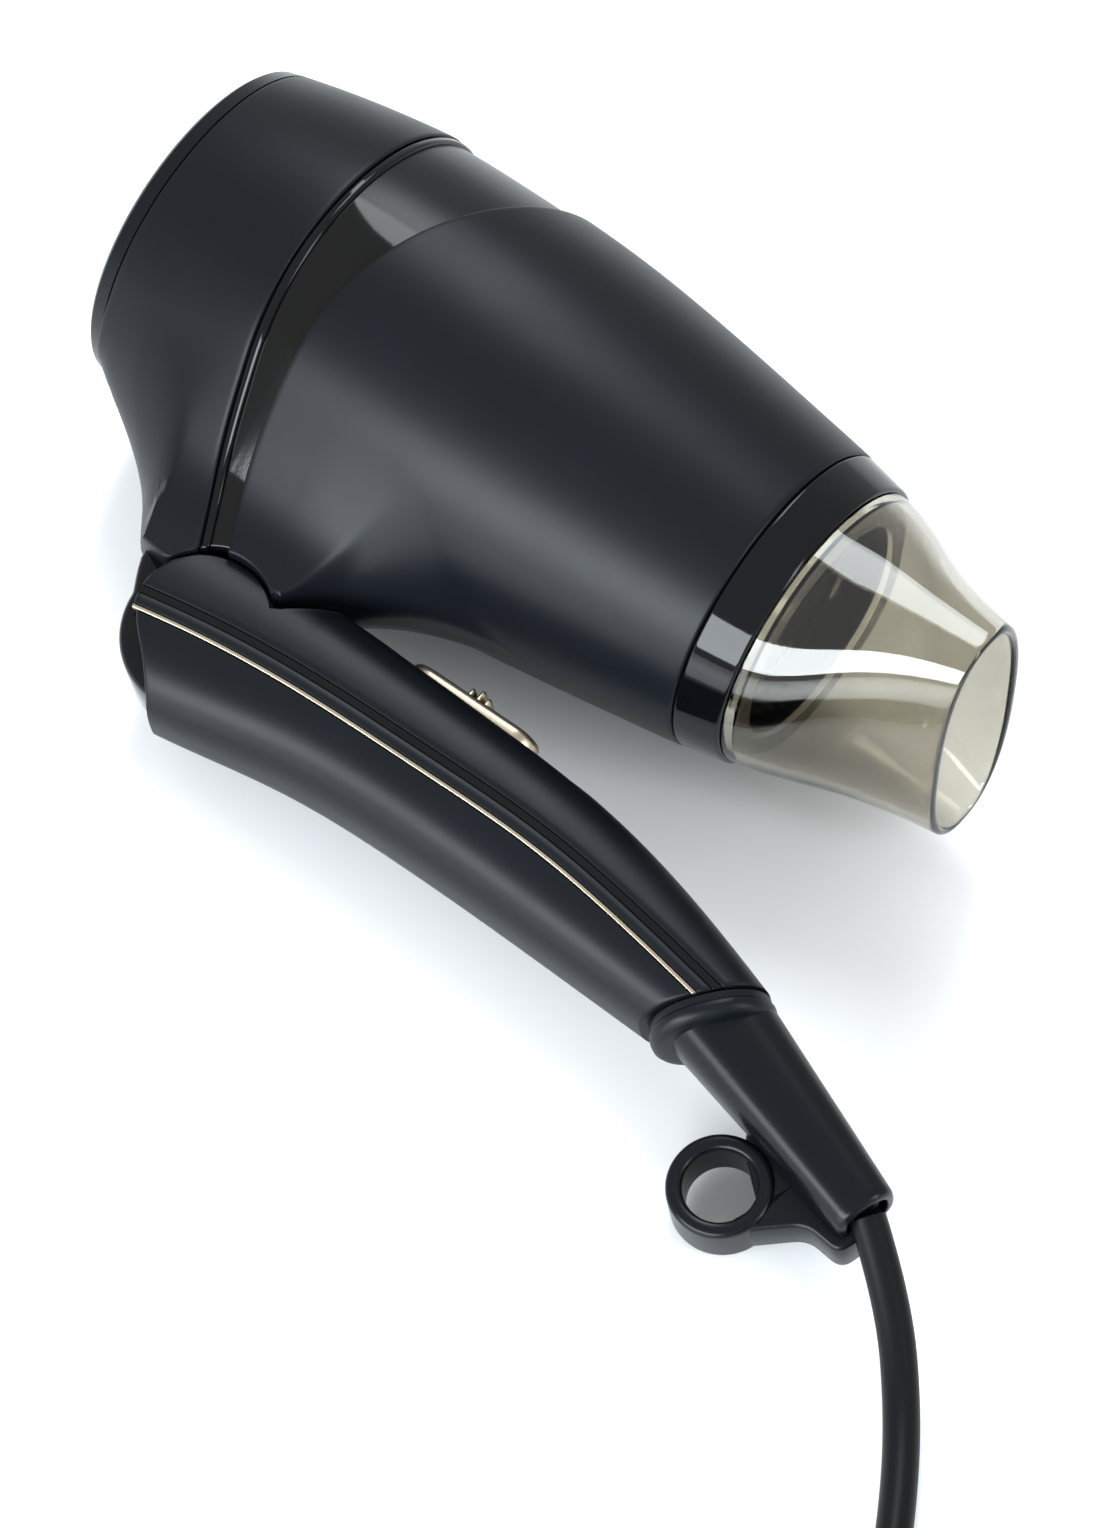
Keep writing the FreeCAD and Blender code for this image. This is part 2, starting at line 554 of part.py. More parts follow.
def build_lead():
    """Free stretch, the wound ring, and the tail that lies on it."""
    ring = Part.makeCylinder(COIL_OUTER, COIL_HEIGHT, Vector(COIL_X, COIL_Y, 0))
    ring = ring.cut(Part.makeCylinder(COIL_INNER, COIL_HEIGHT, Vector(COIL_X, COIL_Y, 0)))
    PARTS["lead_coil"] = ring
    PARTS["lead_free"] = lead_tube(lead_route()).cut(ring).Solids[0]
    build_plug()
    tail = lead_tube(tail_route()).cut(ring).cut(PARTS["plug_body"])
    PARTS["lead_tail"] = max(tail.Solids, key=lambda s: s.Volume)


def build_plug():
    """Flat two pin plug with a tapered relief, lying on the ring."""
    way, side = Vector(0, 1, 0), Vector(-1, 0, 0)
    neck_at = Vector(COIL_X, COIL_Y + NECK_Y, PLUG_Z)
    neck_end = neck_at + way * NECK_LENGTH
    cone = Part.makeCone(4.8, 6.2, NECK_LENGTH, neck_at, way)
    body = plug_body()
    body.Placement = Placement(neck_end, Rotation())
    PARTS["plug_body"] = cone.fuse(body)
    pins = [Part.makeCylinder(PIN_RADIUS, PIN_LENGTH, neck_end + way * PLUG_LENGTH
                              + side * s * PIN_SPACING / 2, way) for s in (-1, 1)]
    PARTS["plug_pins"] = Part.makeCompound(pins)


def plug_body():
    """Moulded body: narrow at the lead, wide at the pins, with rounded edges."""
    end = PLUG_LENGTH
    face = Part.Face(polygon([(-8.0, 0), (8.0, 0), (15.5, 12.0), (17.4, end), (-17.4, end),
                              (-15.5, 12.0), (-8.0, 0)]))
    face.translate(Vector(0, 0, -6.8))
    body = face.extrude(Vector(0, 0, 13.6))
    return body.makeFillet(2.4, [e for e in body.Edges if abs(e.Length - 13.6) > 0.1])


# ---------------------------------------------------------------- assembly
def lay_down(shape):
    """Roll the piece about the barrel axis and set it on the floor."""
    move = Placement(Vector(-ORIGIN_X, -ORIGIN_Y, FLOOR_DROP), Rotation(AXIS, ROLL))
    laid = shape.copy()
    laid.Placement = move.multiply(shape.Placement)
    return laid


def main():
    os.makedirs("parts", exist_ok=True)
    build_head_shells()
    build_intake()
    build_motor()
    build_heater()
    build_nozzle()
    build_handle()
    build_switch()
    build_end()
    build_loop()
    build_fasteners()
    for name in list(PARTS):
        PARTS[name] = lay_down(PARTS[name])
    build_lead()
    for name, shape in PARTS.items():
        shape.exportStep("parts/" + name + ".step")
    return PARTS


if __name__ == "__main__":
    main()
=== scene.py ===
"""Finished model of a folding travel hair dryer, lying folded on a pale table.

Shapes are drawn in millimetres in the dryer's own side view: x along the barrel from the
intake to the nozzle, y up through the barrel away from the handle, z across.  LAY turns them
into metres in the shared frame, where the dryer lies rolled about its barrel.
"""
import json
import logging
import math
from dataclasses import dataclass
from enum import Enum
from typing import Callable, Sequence

import bmesh
import bpy
import numpy as np
from mathutils import Matrix, Vector


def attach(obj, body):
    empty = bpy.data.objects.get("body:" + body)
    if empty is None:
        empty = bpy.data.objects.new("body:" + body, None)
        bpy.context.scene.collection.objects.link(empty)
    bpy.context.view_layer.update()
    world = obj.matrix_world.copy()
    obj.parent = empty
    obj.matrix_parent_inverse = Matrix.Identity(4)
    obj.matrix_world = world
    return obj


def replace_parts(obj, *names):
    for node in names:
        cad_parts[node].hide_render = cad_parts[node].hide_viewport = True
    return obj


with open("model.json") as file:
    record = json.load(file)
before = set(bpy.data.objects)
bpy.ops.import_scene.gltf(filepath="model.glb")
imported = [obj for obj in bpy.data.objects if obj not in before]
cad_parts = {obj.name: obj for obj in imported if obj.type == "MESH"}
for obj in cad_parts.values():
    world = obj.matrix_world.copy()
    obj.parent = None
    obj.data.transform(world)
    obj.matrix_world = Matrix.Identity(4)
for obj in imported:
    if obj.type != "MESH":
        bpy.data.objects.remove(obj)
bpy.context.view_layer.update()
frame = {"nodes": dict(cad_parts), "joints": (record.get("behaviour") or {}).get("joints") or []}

Array = np.ndarray
Curve = Callable[[Array], Array]
LOG = logging.getLogger("dryer")
JOINTS = {joint["name"]: joint for joint in frame["joints"]}
SWIVEL_X = 150.0        # side view station of the nozzle's swivel


# ------------------------------------------------------------------ placing and curves
@dataclass(frozen=True)
class Lay:
    """Turns side view millimetres into metres in the shared frame."""

    roll: float
    origin: Array

    def metres(self, points: Array) -> Array:
        """Place points: turn y and z by the roll about the barrel, then move to the origin.

        Args:
            points: array of shape (..., 3) in millimetres.

        Returns:
            The same points in metres.
        """
        x, y, z = points[..., 0], points[..., 1], points[..., 2]
        c, s = math.cos(self.roll), math.sin(self.roll)
        return np.stack([x, c * y - s * z, s * y + c * z], -1) / 1000 + self.origin

def find_lay() -> Lay:
    """Read the roll from the fold hinge's axis and the place from the nozzle's swivel."""
    across = JOINTS["head_fold"]["axis"]
    place = np.array(JOINTS["nozzle_turn"]["pos_m"], float)
    return Lay(math.atan2(-across[1], across[2]), place - np.array([SWIVEL_X / 1000, 0, 0]))


LAY = find_lay()


class Spline:
    """Natural cubic spline through (x, y) points, flat beyond its ends."""

    def __init__(self, points: Sequence[tuple[float, float]]) -> None:
        """Solve the second derivatives: neighbouring cubics share slope and curvature."""
        self.x, self.y = np.array(sorted(points), float).T
        h, n = np.diff(self.x), len(self.x)
        a, b = np.eye(n), np.zeros(n)
        for i in range(1, n - 1):
            a[i, i - 1:i + 2] = h[i - 1], 2 * (h[i - 1] + h[i]), h[i]
            b[i] = 6 * ((self.y[i + 1] - self.y[i]) / h[i] - (self.y[i] - self.y[i - 1]) / h[i - 1])
        self.bend = np.linalg.solve(a, b)

    def __call__(self, q: Array) -> Array:
        """Evaluate the cubic of the span that each q falls in."""
        q = np.clip(np.asarray(q, float), self.x[0], self.x[-1])
        i = np.clip(np.searchsorted(self.x, q) - 1, 0, len(self.x) - 2)
        h = self.x[i + 1] - self.x[i]
        u, v = (self.x[i + 1] - q) / h, (q - self.x[i]) / h
        cubic = ((u ** 3 - u) * self.bend[i] + (v ** 3 - v) * self.bend[i + 1]) * h * h / 6
        return u * self.y[i] + v * self.y[i + 1] + cubic


def polyline(points: Sequence[tuple[float, float]]) -> Curve:
    """Straight runs between points, as a function of the first coordinate."""
    xs, ys = np.array(sorted(points), float).T
    return lambda q: np.interp(q, xs, ys)


def smoothstep(q: Array, low: float, high: float) -> Array:
    """0 below low, 1 above high, and 3t^2 - 2t^3 between."""
    t = np.clip((np.asarray(q, float) - low) / (high - low), 0, 1)
    return t * t * (3 - 2 * t)


SETTLE_ROUNDS = 60
SETTLE_SHARE = 0.45     # share of each correction that is taken


def settle(start: Array, y_of: Callable[[Array], Array], x_of: Callable[[Array], Array]) -> tuple:
    """Solve x = x_of(y), y = y_of(x) together by damped repetition.

    Returns:
        The pair (x, y) of arrays.
    """
    x = start
    for _ in range(SETTLE_ROUNDS):
        x = x + SETTLE_SHARE * (x_of(y_of(x)) - x)
    return x, y_of(x)


def circle(count: int) -> Array:
    """Angles of a full turn, as one row."""
    return np.linspace(0, 2 * math.pi, count, endpoint=False)[None, :]


def signed_power(value: Array, power: float | Array) -> Array:
    """Power of the size of a value, with the value's own sign: the key to superellipses."""
    return np.sign(value) * np.abs(value) ** power


# ------------------------------------------------------------------ meshes
SHARP = math.radians(38)    # angle past which an edge is left sharp
WELD = 4e-6                 # metres within which points become one
SLIVER = 1e-6               # metres below which an edge is dropped


def make_object(name: str, points: Array, faces: Array, material: bpy.types.Material,
                body: str, slot: str) -> bpy.types.Object:
    """Mesh object from placed points, with its seams closed and its faces outwards.

    Args:
        name: piece name.
        points: (n, 3) points in side view millimetres.
        faces: index quads.
        material: its finish.
        body: CAD body that it rides on.
        slot: the record's material slot; not used.

    Returns:
        The new object.
    """
    mesh = bpy.data.meshes.new(name)
    mesh.from_pydata(LAY.metres(points.reshape(-1, 3)).tolist(), [], faces.tolist())
    tidy_mesh(mesh)
    mesh.materials.append(material)
    piece = bpy.data.objects.new(name, mesh)
    bpy.context.scene.collection.objects.link(piece)
    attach(piece, body)
    LOG.info("%s: %d faces", name, len(mesh.polygons))
    return piece


def tidy_mesh(mesh: bpy.types.Mesh) -> None:
    """Weld doubled points, drop flat slivers, close holes and turn faces outwards."""
    work = bmesh.new()
    work.from_mesh(mesh)
    bmesh.ops.remove_doubles(work, verts=work.verts, dist=WELD)
    bmesh.ops.dissolve_degenerate(work, dist=SLIVER, edges=work.edges)
    rims = [e for e in work.edges if e.is_boundary]
    if rims:
        bmesh.ops.holes_fill(work, edges=rims, sides=0)
    bmesh.ops.recalc_face_normals(work, faces=work.faces)
    work.to_mesh(mesh)
    work.free()
    mesh.shade_smooth()
    mesh.set_sharp_from_angle(angle=SHARP)


def grid_faces(rows: int, cols: int, close_rows: bool = False) -> Array:
    """Index quads of a grid whose columns close: (i, j), (i+1, j), (i+1, j+1), (i, j+1)."""
    i = np.arange(rows if close_rows else rows - 1)[:, None]
    j = np.arange(cols)[None, :]
    i1, j1 = (i + 1) % rows, (j + 1) % cols
    corners = [i * cols + j, i1 * cols + j, i1 * cols + j1, i * cols + j1]
    return np.stack(np.broadcast_arrays(*corners), -1).reshape(-1, 4)


def grid_object(name: str, grid: Array, finish: "Finish", body: str, slot: str,
                close_rows: bool = False) -> bpy.types.Object:
    """Object from a grid of points (rows, columns, 3) whose columns close round."""
    faces = grid_faces(grid.shape[0], grid.shape[1], close_rows)
    return make_object(name, grid, faces, material_of(finish), body, slot)


@dataclass(frozen=True)
class Wall:
    """Closed profile of a shell wall: along the outside, round one edge, back, round the other."""

    base: float = 0.0       # depth of the outside below the nominal surface
    thick: float = 2.0
    edge: float = 0.5
    rows: int = 60

    def profile(self) -> tuple[Array, Array, Array]:
        """Profile columns.

        Returns:
            Share of the way from the rear edge to the front one, shift along x, and depth.
        """
        turn = np.radians([30.0, 60.0, 90.0])
        share = np.linspace(0, 1, self.rows)
        back = np.linspace(1, 0, 12)
        s = np.concatenate([share, np.ones(3), back, np.zeros(3)])
        shift = np.concatenate([self.edge * (1 - 2 * share), -self.edge * (1 - np.sin(turn)),
                                back * 0, self.edge * (1 - np.sin(turn[::-1]))])
        drop = self.edge * (1 - np.cos(turn))
        depth = np.concatenate([share * 0, drop, back * 0 + self.thick, drop[::-1]]) + self.base
        return s, shift, depth


def rounded(points: Sequence[tuple[float, float]], reach: float, steps: int = 6) -> Array:
    """Closed outline with each corner replaced by a parabola that starts reach before it."""
    p = np.array(points, float)
    before, after = np.roll(p, 1, 0) - p, np.roll(p, -1, 0) - p
    lengths = [np.linalg.norm(d, axis=1, keepdims=True) for d in (before, after)]
    cut = np.minimum(reach, 0.45 * np.minimum(*lengths))
    a, b = p + before / lengths[0] * cut, p + after / lengths[1] * cut
    t = np.linspace(0, 1, steps)[None, :, None]
    path = a[:, None] * (1 - t) ** 2 + 2 * p[:, None] * t * (1 - t) + b[:, None] * t ** 2
    return path.reshape(-1, 2)


def inward(outline: Array) -> Array:
    """Unit normals of a closed outline, towards its inside."""
    along = np.roll(outline, -1, 0) - np.roll(outline, 1, 0)
    normal = np.stack([-along[:, 1], along[:, 0]], -1)
    normal /= np.linalg.norm(normal, axis=1, keepdims=True) + 1e-9
    x, y = outline.T
    area = np.sum(x * np.roll(y, -1) - np.roll(x, -1) * y)
    return normal * np.sign(area)


def slab_points(outline: Array, low: float, high: float, edge: float, dome: float = 0.0) -> Array:
    """Rings of a slab with rounded rims: each ring is the outline moved inwards and in height.

    Args:
        outline: closed outline (n, 2).
        low: lower face.
        high: upper face.
        edge: radius of the rims.
        dome: how much the middle of the upper face stands above its rim.

    Returns:
        Grid (rings, n, 3) whose first and last rings have closed up to the middle.
    """
    normal, middle = inward(outline), outline.mean(0)
    turn = np.radians([90.0, 60.0, 30.0, 0.0])
    rings = []

    def ring(inset: float, height: float, share: float = 1.0) -> None:
        flat = (outline + normal * inset - middle) * share + middle
        rings.append(np.column_stack([flat, np.full(len(flat), height)]))
    for share in (0.0, 0.5):
        ring(edge, low, share)
    for a in turn:
        ring(edge * (1 - math.cos(a)), low + edge * (1 - math.sin(a)))
    for a in turn[::-1]:
        ring(edge * (1 - math.cos(a)), high - edge * (1 - math.sin(a)))
    for share in (0.8, 0.55, 0.3, 0.0):
        ring(edge, high + dome * (1 - share * share), share)
    return np.stack(rings)


# ------------------------------------------------------------------ finishes
class Surface(Enum):
    """How the skin of a finish is worked."""

    GRAINED = "fine moulded grain"
    POLISHED = "polished"
    BRUSHED = "drawn along the barrel"
    CLEAR = "clear"


@dataclass(frozen=True)
class Finish:
    """A finish of the dryer: colour, gloss and how the skin is worked."""

    name: str
    colour: tuple[float, float, float]
    rough: float
    surface: Surface
    metal: float = 0.0
    spread: float = 0.06        # how far the colour varies either way
    grain: float = 0.1          # strength of the relief
    scale: float = 2200.0       # grains per metre
    gleam: float = 0.5          # strength of reflections, 0.5 for plain plastic
    ior: float = 1.5
    sheen_from: float | None = None     # height in the side view above which the skin is satin


SATIN = Finish("satin_shell", (0.0030, 0.0042, 0.0062), 0.38, Surface.GRAINED, gleam=0.17)
SATIN_DARK = Finish("satin_end", (0.0025, 0.0032, 0.0045), 0.27, Surface.GRAINED, gleam=0.18)
GLOSS = Finish("gloss_black", (0.002, 0.002, 0.003), 0.05, Surface.POLISHED, grain=0.02, gleam=0.24)
PANEL = Finish("band_black", (0.003, 0.0028, 0.0028), 0.06, Surface.POLISHED, grain=0.02,
               gleam=0.24, sheen_from=9.0)
CHAMPAGNE = Finish("champagne", (0.46, 0.39, 0.29), 0.30, Surface.BRUSHED, metal=0.95, grain=0.05)
SMOKE = Finish("smoke_clear", (0.54, 0.51, 0.43), 0.04, Surface.CLEAR, ior=1.49)
CORD = Finish("cord_sheath", (0.003, 0.003, 0.004), 0.42, Surface.GRAINED, scale=1400, grain=0.12,
              gleam=0.16)
PLUG = Finish("plug_moulding", (0.012, 0.012, 0.014), 0.38, Surface.GRAINED, scale=1800)
STEEL = Finish("steel", (0.56, 0.57, 0.58), 0.3, Surface.BRUSHED, metal=1.0, grain=0.08)
BRASS = Finish("plated_brass", (0.72, 0.68, 0.55), 0.22, Surface.BRUSHED, metal=1.0)
MICA = Finish("mica_sheet", (0.62, 0.54, 0.38), 0.3, Surface.GRAINED, spread=0.2, scale=500)
WIRE = Finish("heater_wire", (0.45, 0.42, 0.38), 0.4, Surface.BRUSHED, metal=1.0)
INNER = Finish("inner_plastic", (0.035, 0.036, 0.038), 0.5, Surface.GRAINED, scale=1500)
BOARD = Finish("circuit_board", (0.36, 0.26, 0.12), 0.5, Surface.GRAINED, spread=0.12)
PALE = Finish("pale_plastic", (0.66, 0.65, 0.60), 0.45, Surface.GRAINED)


SHEEN_ROUGH = 0.3       # roughness where a finish turns to satin
SHEEN_FADE = 0.0012     # metres over which it turns
WEAR = 0.07             # share by which roughness varies either way
GRAIN_DEPTH = 0.00008   # metres
BRUSH_STRETCH = 12.0    # length of a brushed line over its width


class MaterialMaker:
    """Builds the node material of a finish."""

    def __init__(self, finish: Finish) -> None:
        """Start a material with object coordinates and a Principled shader."""
        self.finish = finish
        self.material = bpy.data.materials.new(finish.name)
        self.material.use_nodes = True
        self.nodes = self.material.node_tree.nodes
        self.links = self.material.node_tree.links
        self.shader = self.nodes["Principled BSDF"]
        self.place = self.nodes.new("ShaderNodeTexCoord").outputs["Object"]

    def noise(self, scale: float, detail: float = 2.0, stretch: float = 1.0) -> bpy.types.NodeSocket:
        """Noise in object space, its x squeezed by stretch so that it runs along the barrel."""
        source = self.place
        if stretch != 1.0:
            mapping = self.nodes.new("ShaderNodeMapping")
            mapping.inputs["Scale"].default_value = (1 / stretch, 1.0, 1.0)
            self.links.new(source, mapping.inputs["Vector"])
            source = mapping.outputs["Vector"]
        node = self.nodes.new("ShaderNodeTexNoise")
        node.inputs["Scale"].default_value = scale
        node.inputs["Detail"].default_value = detail
        self.links.new(source, node.inputs["Vector"])
        return node.outputs["Fac"]

    def colour(self) -> None:
        """Base colour that drifts slightly over the surface, lighter and darker."""
        ramp = self.nodes.new("ShaderNodeValToRGB")
        for element, sign in zip(ramp.color_ramp.elements, (-1, 1)):
            shade = [min(1.0, c * (1 + sign * self.finish.spread)) for c in self.finish.colour]
            element.color = (*shade, 1.0)
        ramp.color_ramp.elements[0].position = 0.35
        ramp.color_ramp.elements[1].position = 0.65
        self.links.new(self.noise(55.0, 3.0), ramp.inputs["Fac"])
        self.links.new(ramp.outputs["Color"], self.shader.inputs["Base Color"])

    def roughness(self) -> None:
        """Gloss that varies in soft patches, as handling leaves it."""
        spread = self.nodes.new("ShaderNodeMapRange")
        spread.inputs["To Min"].default_value = self.finish.rough * (1 - WEAR)
        spread.inputs["To Max"].default_value = self.finish.rough * (1 + WEAR)
        self.links.new(self.noise(120.0), spread.inputs["Value"])
        self.links.new(spread.outputs["Result"], self.shader.inputs["Roughness"])

    def sheen(self) -> None:
        """Satin above a height of the side view: the place's share along that view's up."""
        up = (0.0, math.cos(LAY.roll), math.sin(LAY.roll))
        level = self.nodes.new("ShaderNodeVectorMath")
        level.operation = "DOT_PRODUCT"
        self.links.new(self.place, level.inputs[0])
        level.inputs[1].default_value = up
        start = float(np.dot(LAY.origin, up)) + self.finish.sheen_from / 1000
        step = self.nodes.new("ShaderNodeMapRange")
        for socket, value in (("From Min", start), ("From Max", start + SHEEN_FADE),
                              ("To Min", self.finish.rough), ("To Max", SHEEN_ROUGH)):
            step.inputs[socket].default_value = value
        self.links.new(level.outputs["Value"], step.inputs["Value"])
        self.links.new(step.outputs["Result"], self.shader.inputs["Roughness"])

    def relief(self) -> None:
        """Fine relief of the skin: moulded grain, or lines drawn along the barrel."""
        bump = self.nodes.new("ShaderNodeBump")
        bump.inputs["Strength"].default_value = self.finish.grain
        bump.inputs["Distance"].default_value = GRAIN_DEPTH
        stretch = BRUSH_STRETCH if self.finish.surface is Surface.BRUSHED else 1.0
        self.links.new(self.noise(self.finish.scale, 3.0, stretch), bump.inputs["Height"])
        self.links.new(bump.outputs["Normal"], self.shader.inputs["Normal"])

    def build(self) -> bpy.types.Material:
        """Set the uniform values and add the patterns."""
        inputs = self.shader.inputs
        inputs["Metallic"].default_value = self.finish.metal
        inputs["Specular IOR Level"].default_value = self.finish.gleam
        inputs["IOR"].default_value = self.finish.ior
        self.colour()
        if self.finish.sheen_from is None:
            self.roughness()
        else:
            self.sheen()
        if self.finish.surface is Surface.CLEAR:
            inputs["Transmission Weight"].default_value = 1.0
        else:
            self.relief()
        return self.material


MATERIALS: dict[str, bpy.types.Material] = {}


def material_of(finish: Finish) -> bpy.types.Material:
    """The material of a finish, made once."""
    if finish.name not in MATERIALS:
        MATERIALS[finish.name] = MaterialMaker(finish).build()
    return MATERIALS[finish.name]


# ------------------------------------------------------------------ lead
@dataclass(frozen=True)
class Coil:
    """The put-away lead: four turns inwards on the table, three outwards on top of them."""

    x: float = 210.0
    y: float = -138.0
    radii: tuple[float, ...] = (41.5, 34.3, 27.1, 19.9, 23.5, 30.7, 37.9, 41.5)
    heights: tuple[float, ...] = (3.6, 3.6, 3.6, 3.6, 9.9, 9.9, 9.9, 17.0)
    enter: float = 187.0
    leave: float = 216.0
    shift_from: float = 122.0
    shift_to: float = 178.0

    def points(self) -> Array:
        """Points of the turns: each turn keeps its radius and height, then moves to the next.

        Returns:
            Points (n, 3) in millimetres, in the laid down frame.
        """
        step = 22.5
        angle = np.arange(self.enter, self.leave + 360 * (len(self.radii) - 1) + 1, step)
        turn = (angle - self.shift_to) / 360
        index = np.clip(np.floor(turn).astype(int), 0, len(self.radii) - 1)
        after = np.clip(index + 1, 0, len(self.radii) - 1)
        into = smoothstep(angle - self.shift_to - 360 * index,
                          360 - (self.shift_to - self.shift_from), 360)
        radii, heights = np.array(self.radii), np.array(self.heights)
        r = (radii[index] + (radii[after] - radii[index]) * into) / math.cos(math.radians(step / 2))
        z = heights[index] + (heights[after] - heights[index]) * into
        a = np.radians(angle)
        return np.column_stack([self.x + r * np.cos(a), self.y + r * np.sin(a), z])


@dataclass
class Lead:
    """Mains lead: out of the relief, over the table into the coil, then the plug on top."""

    radius: float = 3.5
    route: tuple = ((112.4, -53.5, 17.4), (125.0, -61.5, 11.2), (138.5, -76.0, 4.6),
                    (149.5, -92.5, 3.6), (158.7, -109.8, 3.6), (165.3, -127.8, 3.6))
    coil: Coil = Coil()
    bend: float = 17.0          # radius of the bend that heads the plug across the coil
    bend_angle: float = 225.0
    neck_y: float = -17.4
    neck: float = 20.0
    plug_height: float = 20.8
    plug_length: float = 32.0
    plug_half: float = 6.7      # half thickness of the plug
    plug_edge: float = 3.2
    plug_start: float = 1.0     # how far the plug reaches over its neck
    shoulder: float = 12.0      # length over which the plug widens

    def ending(self) -> Array:
        """Last bend: points round its centre, rising to the plug, then the plug's own line."""
        start, away = math.radians(self.bend_angle), self.coil.radii[-1] - self.bend
        middle = np.array([self.coil.x + away * math.cos(start), self.coil.y + away * math.sin(start)])
        step = 33.75
        angle = np.radians(self.bend_angle + step * (np.arange(4) + 0.5))
        reach = self.bend / math.cos(math.radians(step / 2))
        top = self.coil.heights[-1]
        rise = top + (self.plug_height - top) * np.array([0.1, 0.35, 0.65, 0.9])
        ring = np.column_stack([middle[0] + reach * np.cos(angle), middle[1] + reach * np.sin(angle),
                                rise])
        line = [(self.coil.x, self.coil.y + self.neck_y + d, self.plug_height) for d in (0.0, 6.0)]
        return np.vstack([ring, line])

    def build(self) -> None:
        points = np.vstack([self.route, self.coil.points(), self.ending()]) / 1000
        data = bpy.data.curves.new("lead", "CURVE")
        data.dimensions = "3D"
        data.resolution_u = 10
        spline = data.splines.new("NURBS")
        spline.points.add(len(points) - 1)
        spline.points.foreach_set("co", np.column_stack([points, np.ones(len(points))]).ravel())
        spline.order_u = 3
        spline.use_endpoint_u = True
        data.bevel_depth = self.radius / 1000
        data.bevel_resolution = 6
        data.materials.append(material_of(CORD))
        lead = bpy.data.objects.new("lead", data)
        bpy.context.scene.collection.objects.link(lead)
        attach(lead, "handle")
        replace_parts(lead, "lead_free", "lead_coil", "lead_tail")
        plug = [self.build_plug(), self.build_neck(), frame["nodes"]["plug_pins"]]
        [v / 1000 for v in self.route[0]]
        self.measure(lead)

    def measure(self, lead: bpy.types.Object) -> float:
        """Length of the smooth line, rounded to a centimetre."""
        bare = lead.data.copy()
        bare.bevel_depth = 0.0
        probe = bpy.data.objects.new("probe", bare)
        line = bpy.data.meshes.new_from_object(probe)
        co = np.array([v.co for v in line.vertices], float)
        bpy.data.objects.remove(probe)
        bpy.data.meshes.remove(line)
        length = round(float(np.linalg.norm(np.diff(co, axis=0), axis=1).sum()), 2)
        LOG.info("lead: %.2f m", length)
        return length

    def placed(self, grid: Array) -> Array:
        """Turn plug shapes into side view millimetres.

        Args:
            grid: points along the plug, to its left and up.

        Returns:
            The same points where the plug lies on the coil.
        """
        laid = np.stack([self.coil.x - grid[..., 1], self.coil.y + self.neck_y + grid[..., 0],
                         self.plug_height + grid[..., 2]], -1)
        x, y, z = np.moveaxis(laid / 1000 - LAY.origin, -1, 0)
        c, s = math.cos(LAY.roll), math.sin(LAY.roll)
        return np.stack([x, c * y + s * z, c * z - s * y], -1) * 1000

    def build_plug(self) -> bpy.types.Object:
        """Flat plug body: a rounded slab, narrow at the lead and wide at the pins."""
        start, end = self.neck, self.neck + self.plug_length
        side = [(start - self.plug_start, 8.0), (start + self.shoulder, 15.0), (end, 17.2)]
        outline = rounded([(x, -y) for x, y in side] + side[::-1], 5.0, 8)
        slab = slab_points(outline, -self.plug_half, self.plug_half, self.plug_edge)
        plug = grid_object("plug_moulding", self.placed(slab), PLUG, "handle", "soft_black")
        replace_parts(plug, "plug_body")
        return plug

    def build_neck(self) -> bpy.types.Object:
        """Plug's own relief: a taper with rings, its radius a line plus a row of soft ribs."""
        t = np.linspace(0, 1, 81)
        radius = 4.7 + 1.5 * t + 0.35 * np.sqrt(np.abs(np.cos(t * math.pi * 6)))
        along = np.concatenate([[0.0, -0.3, 0.0], t * self.neck, [self.neck + 2]])
        radius = np.concatenate([[0.0, 3.9, 4.4], radius, [0.0]])
        grid = turned(np.column_stack([along, radius]), 32)
        return grid_object("plug_neck", self.placed(grid), PLUG, "handle", "soft_black")


# ------------------------------------------------------------------ head
TINY = 1e-6     # keeps divisions by a width or height away from zero


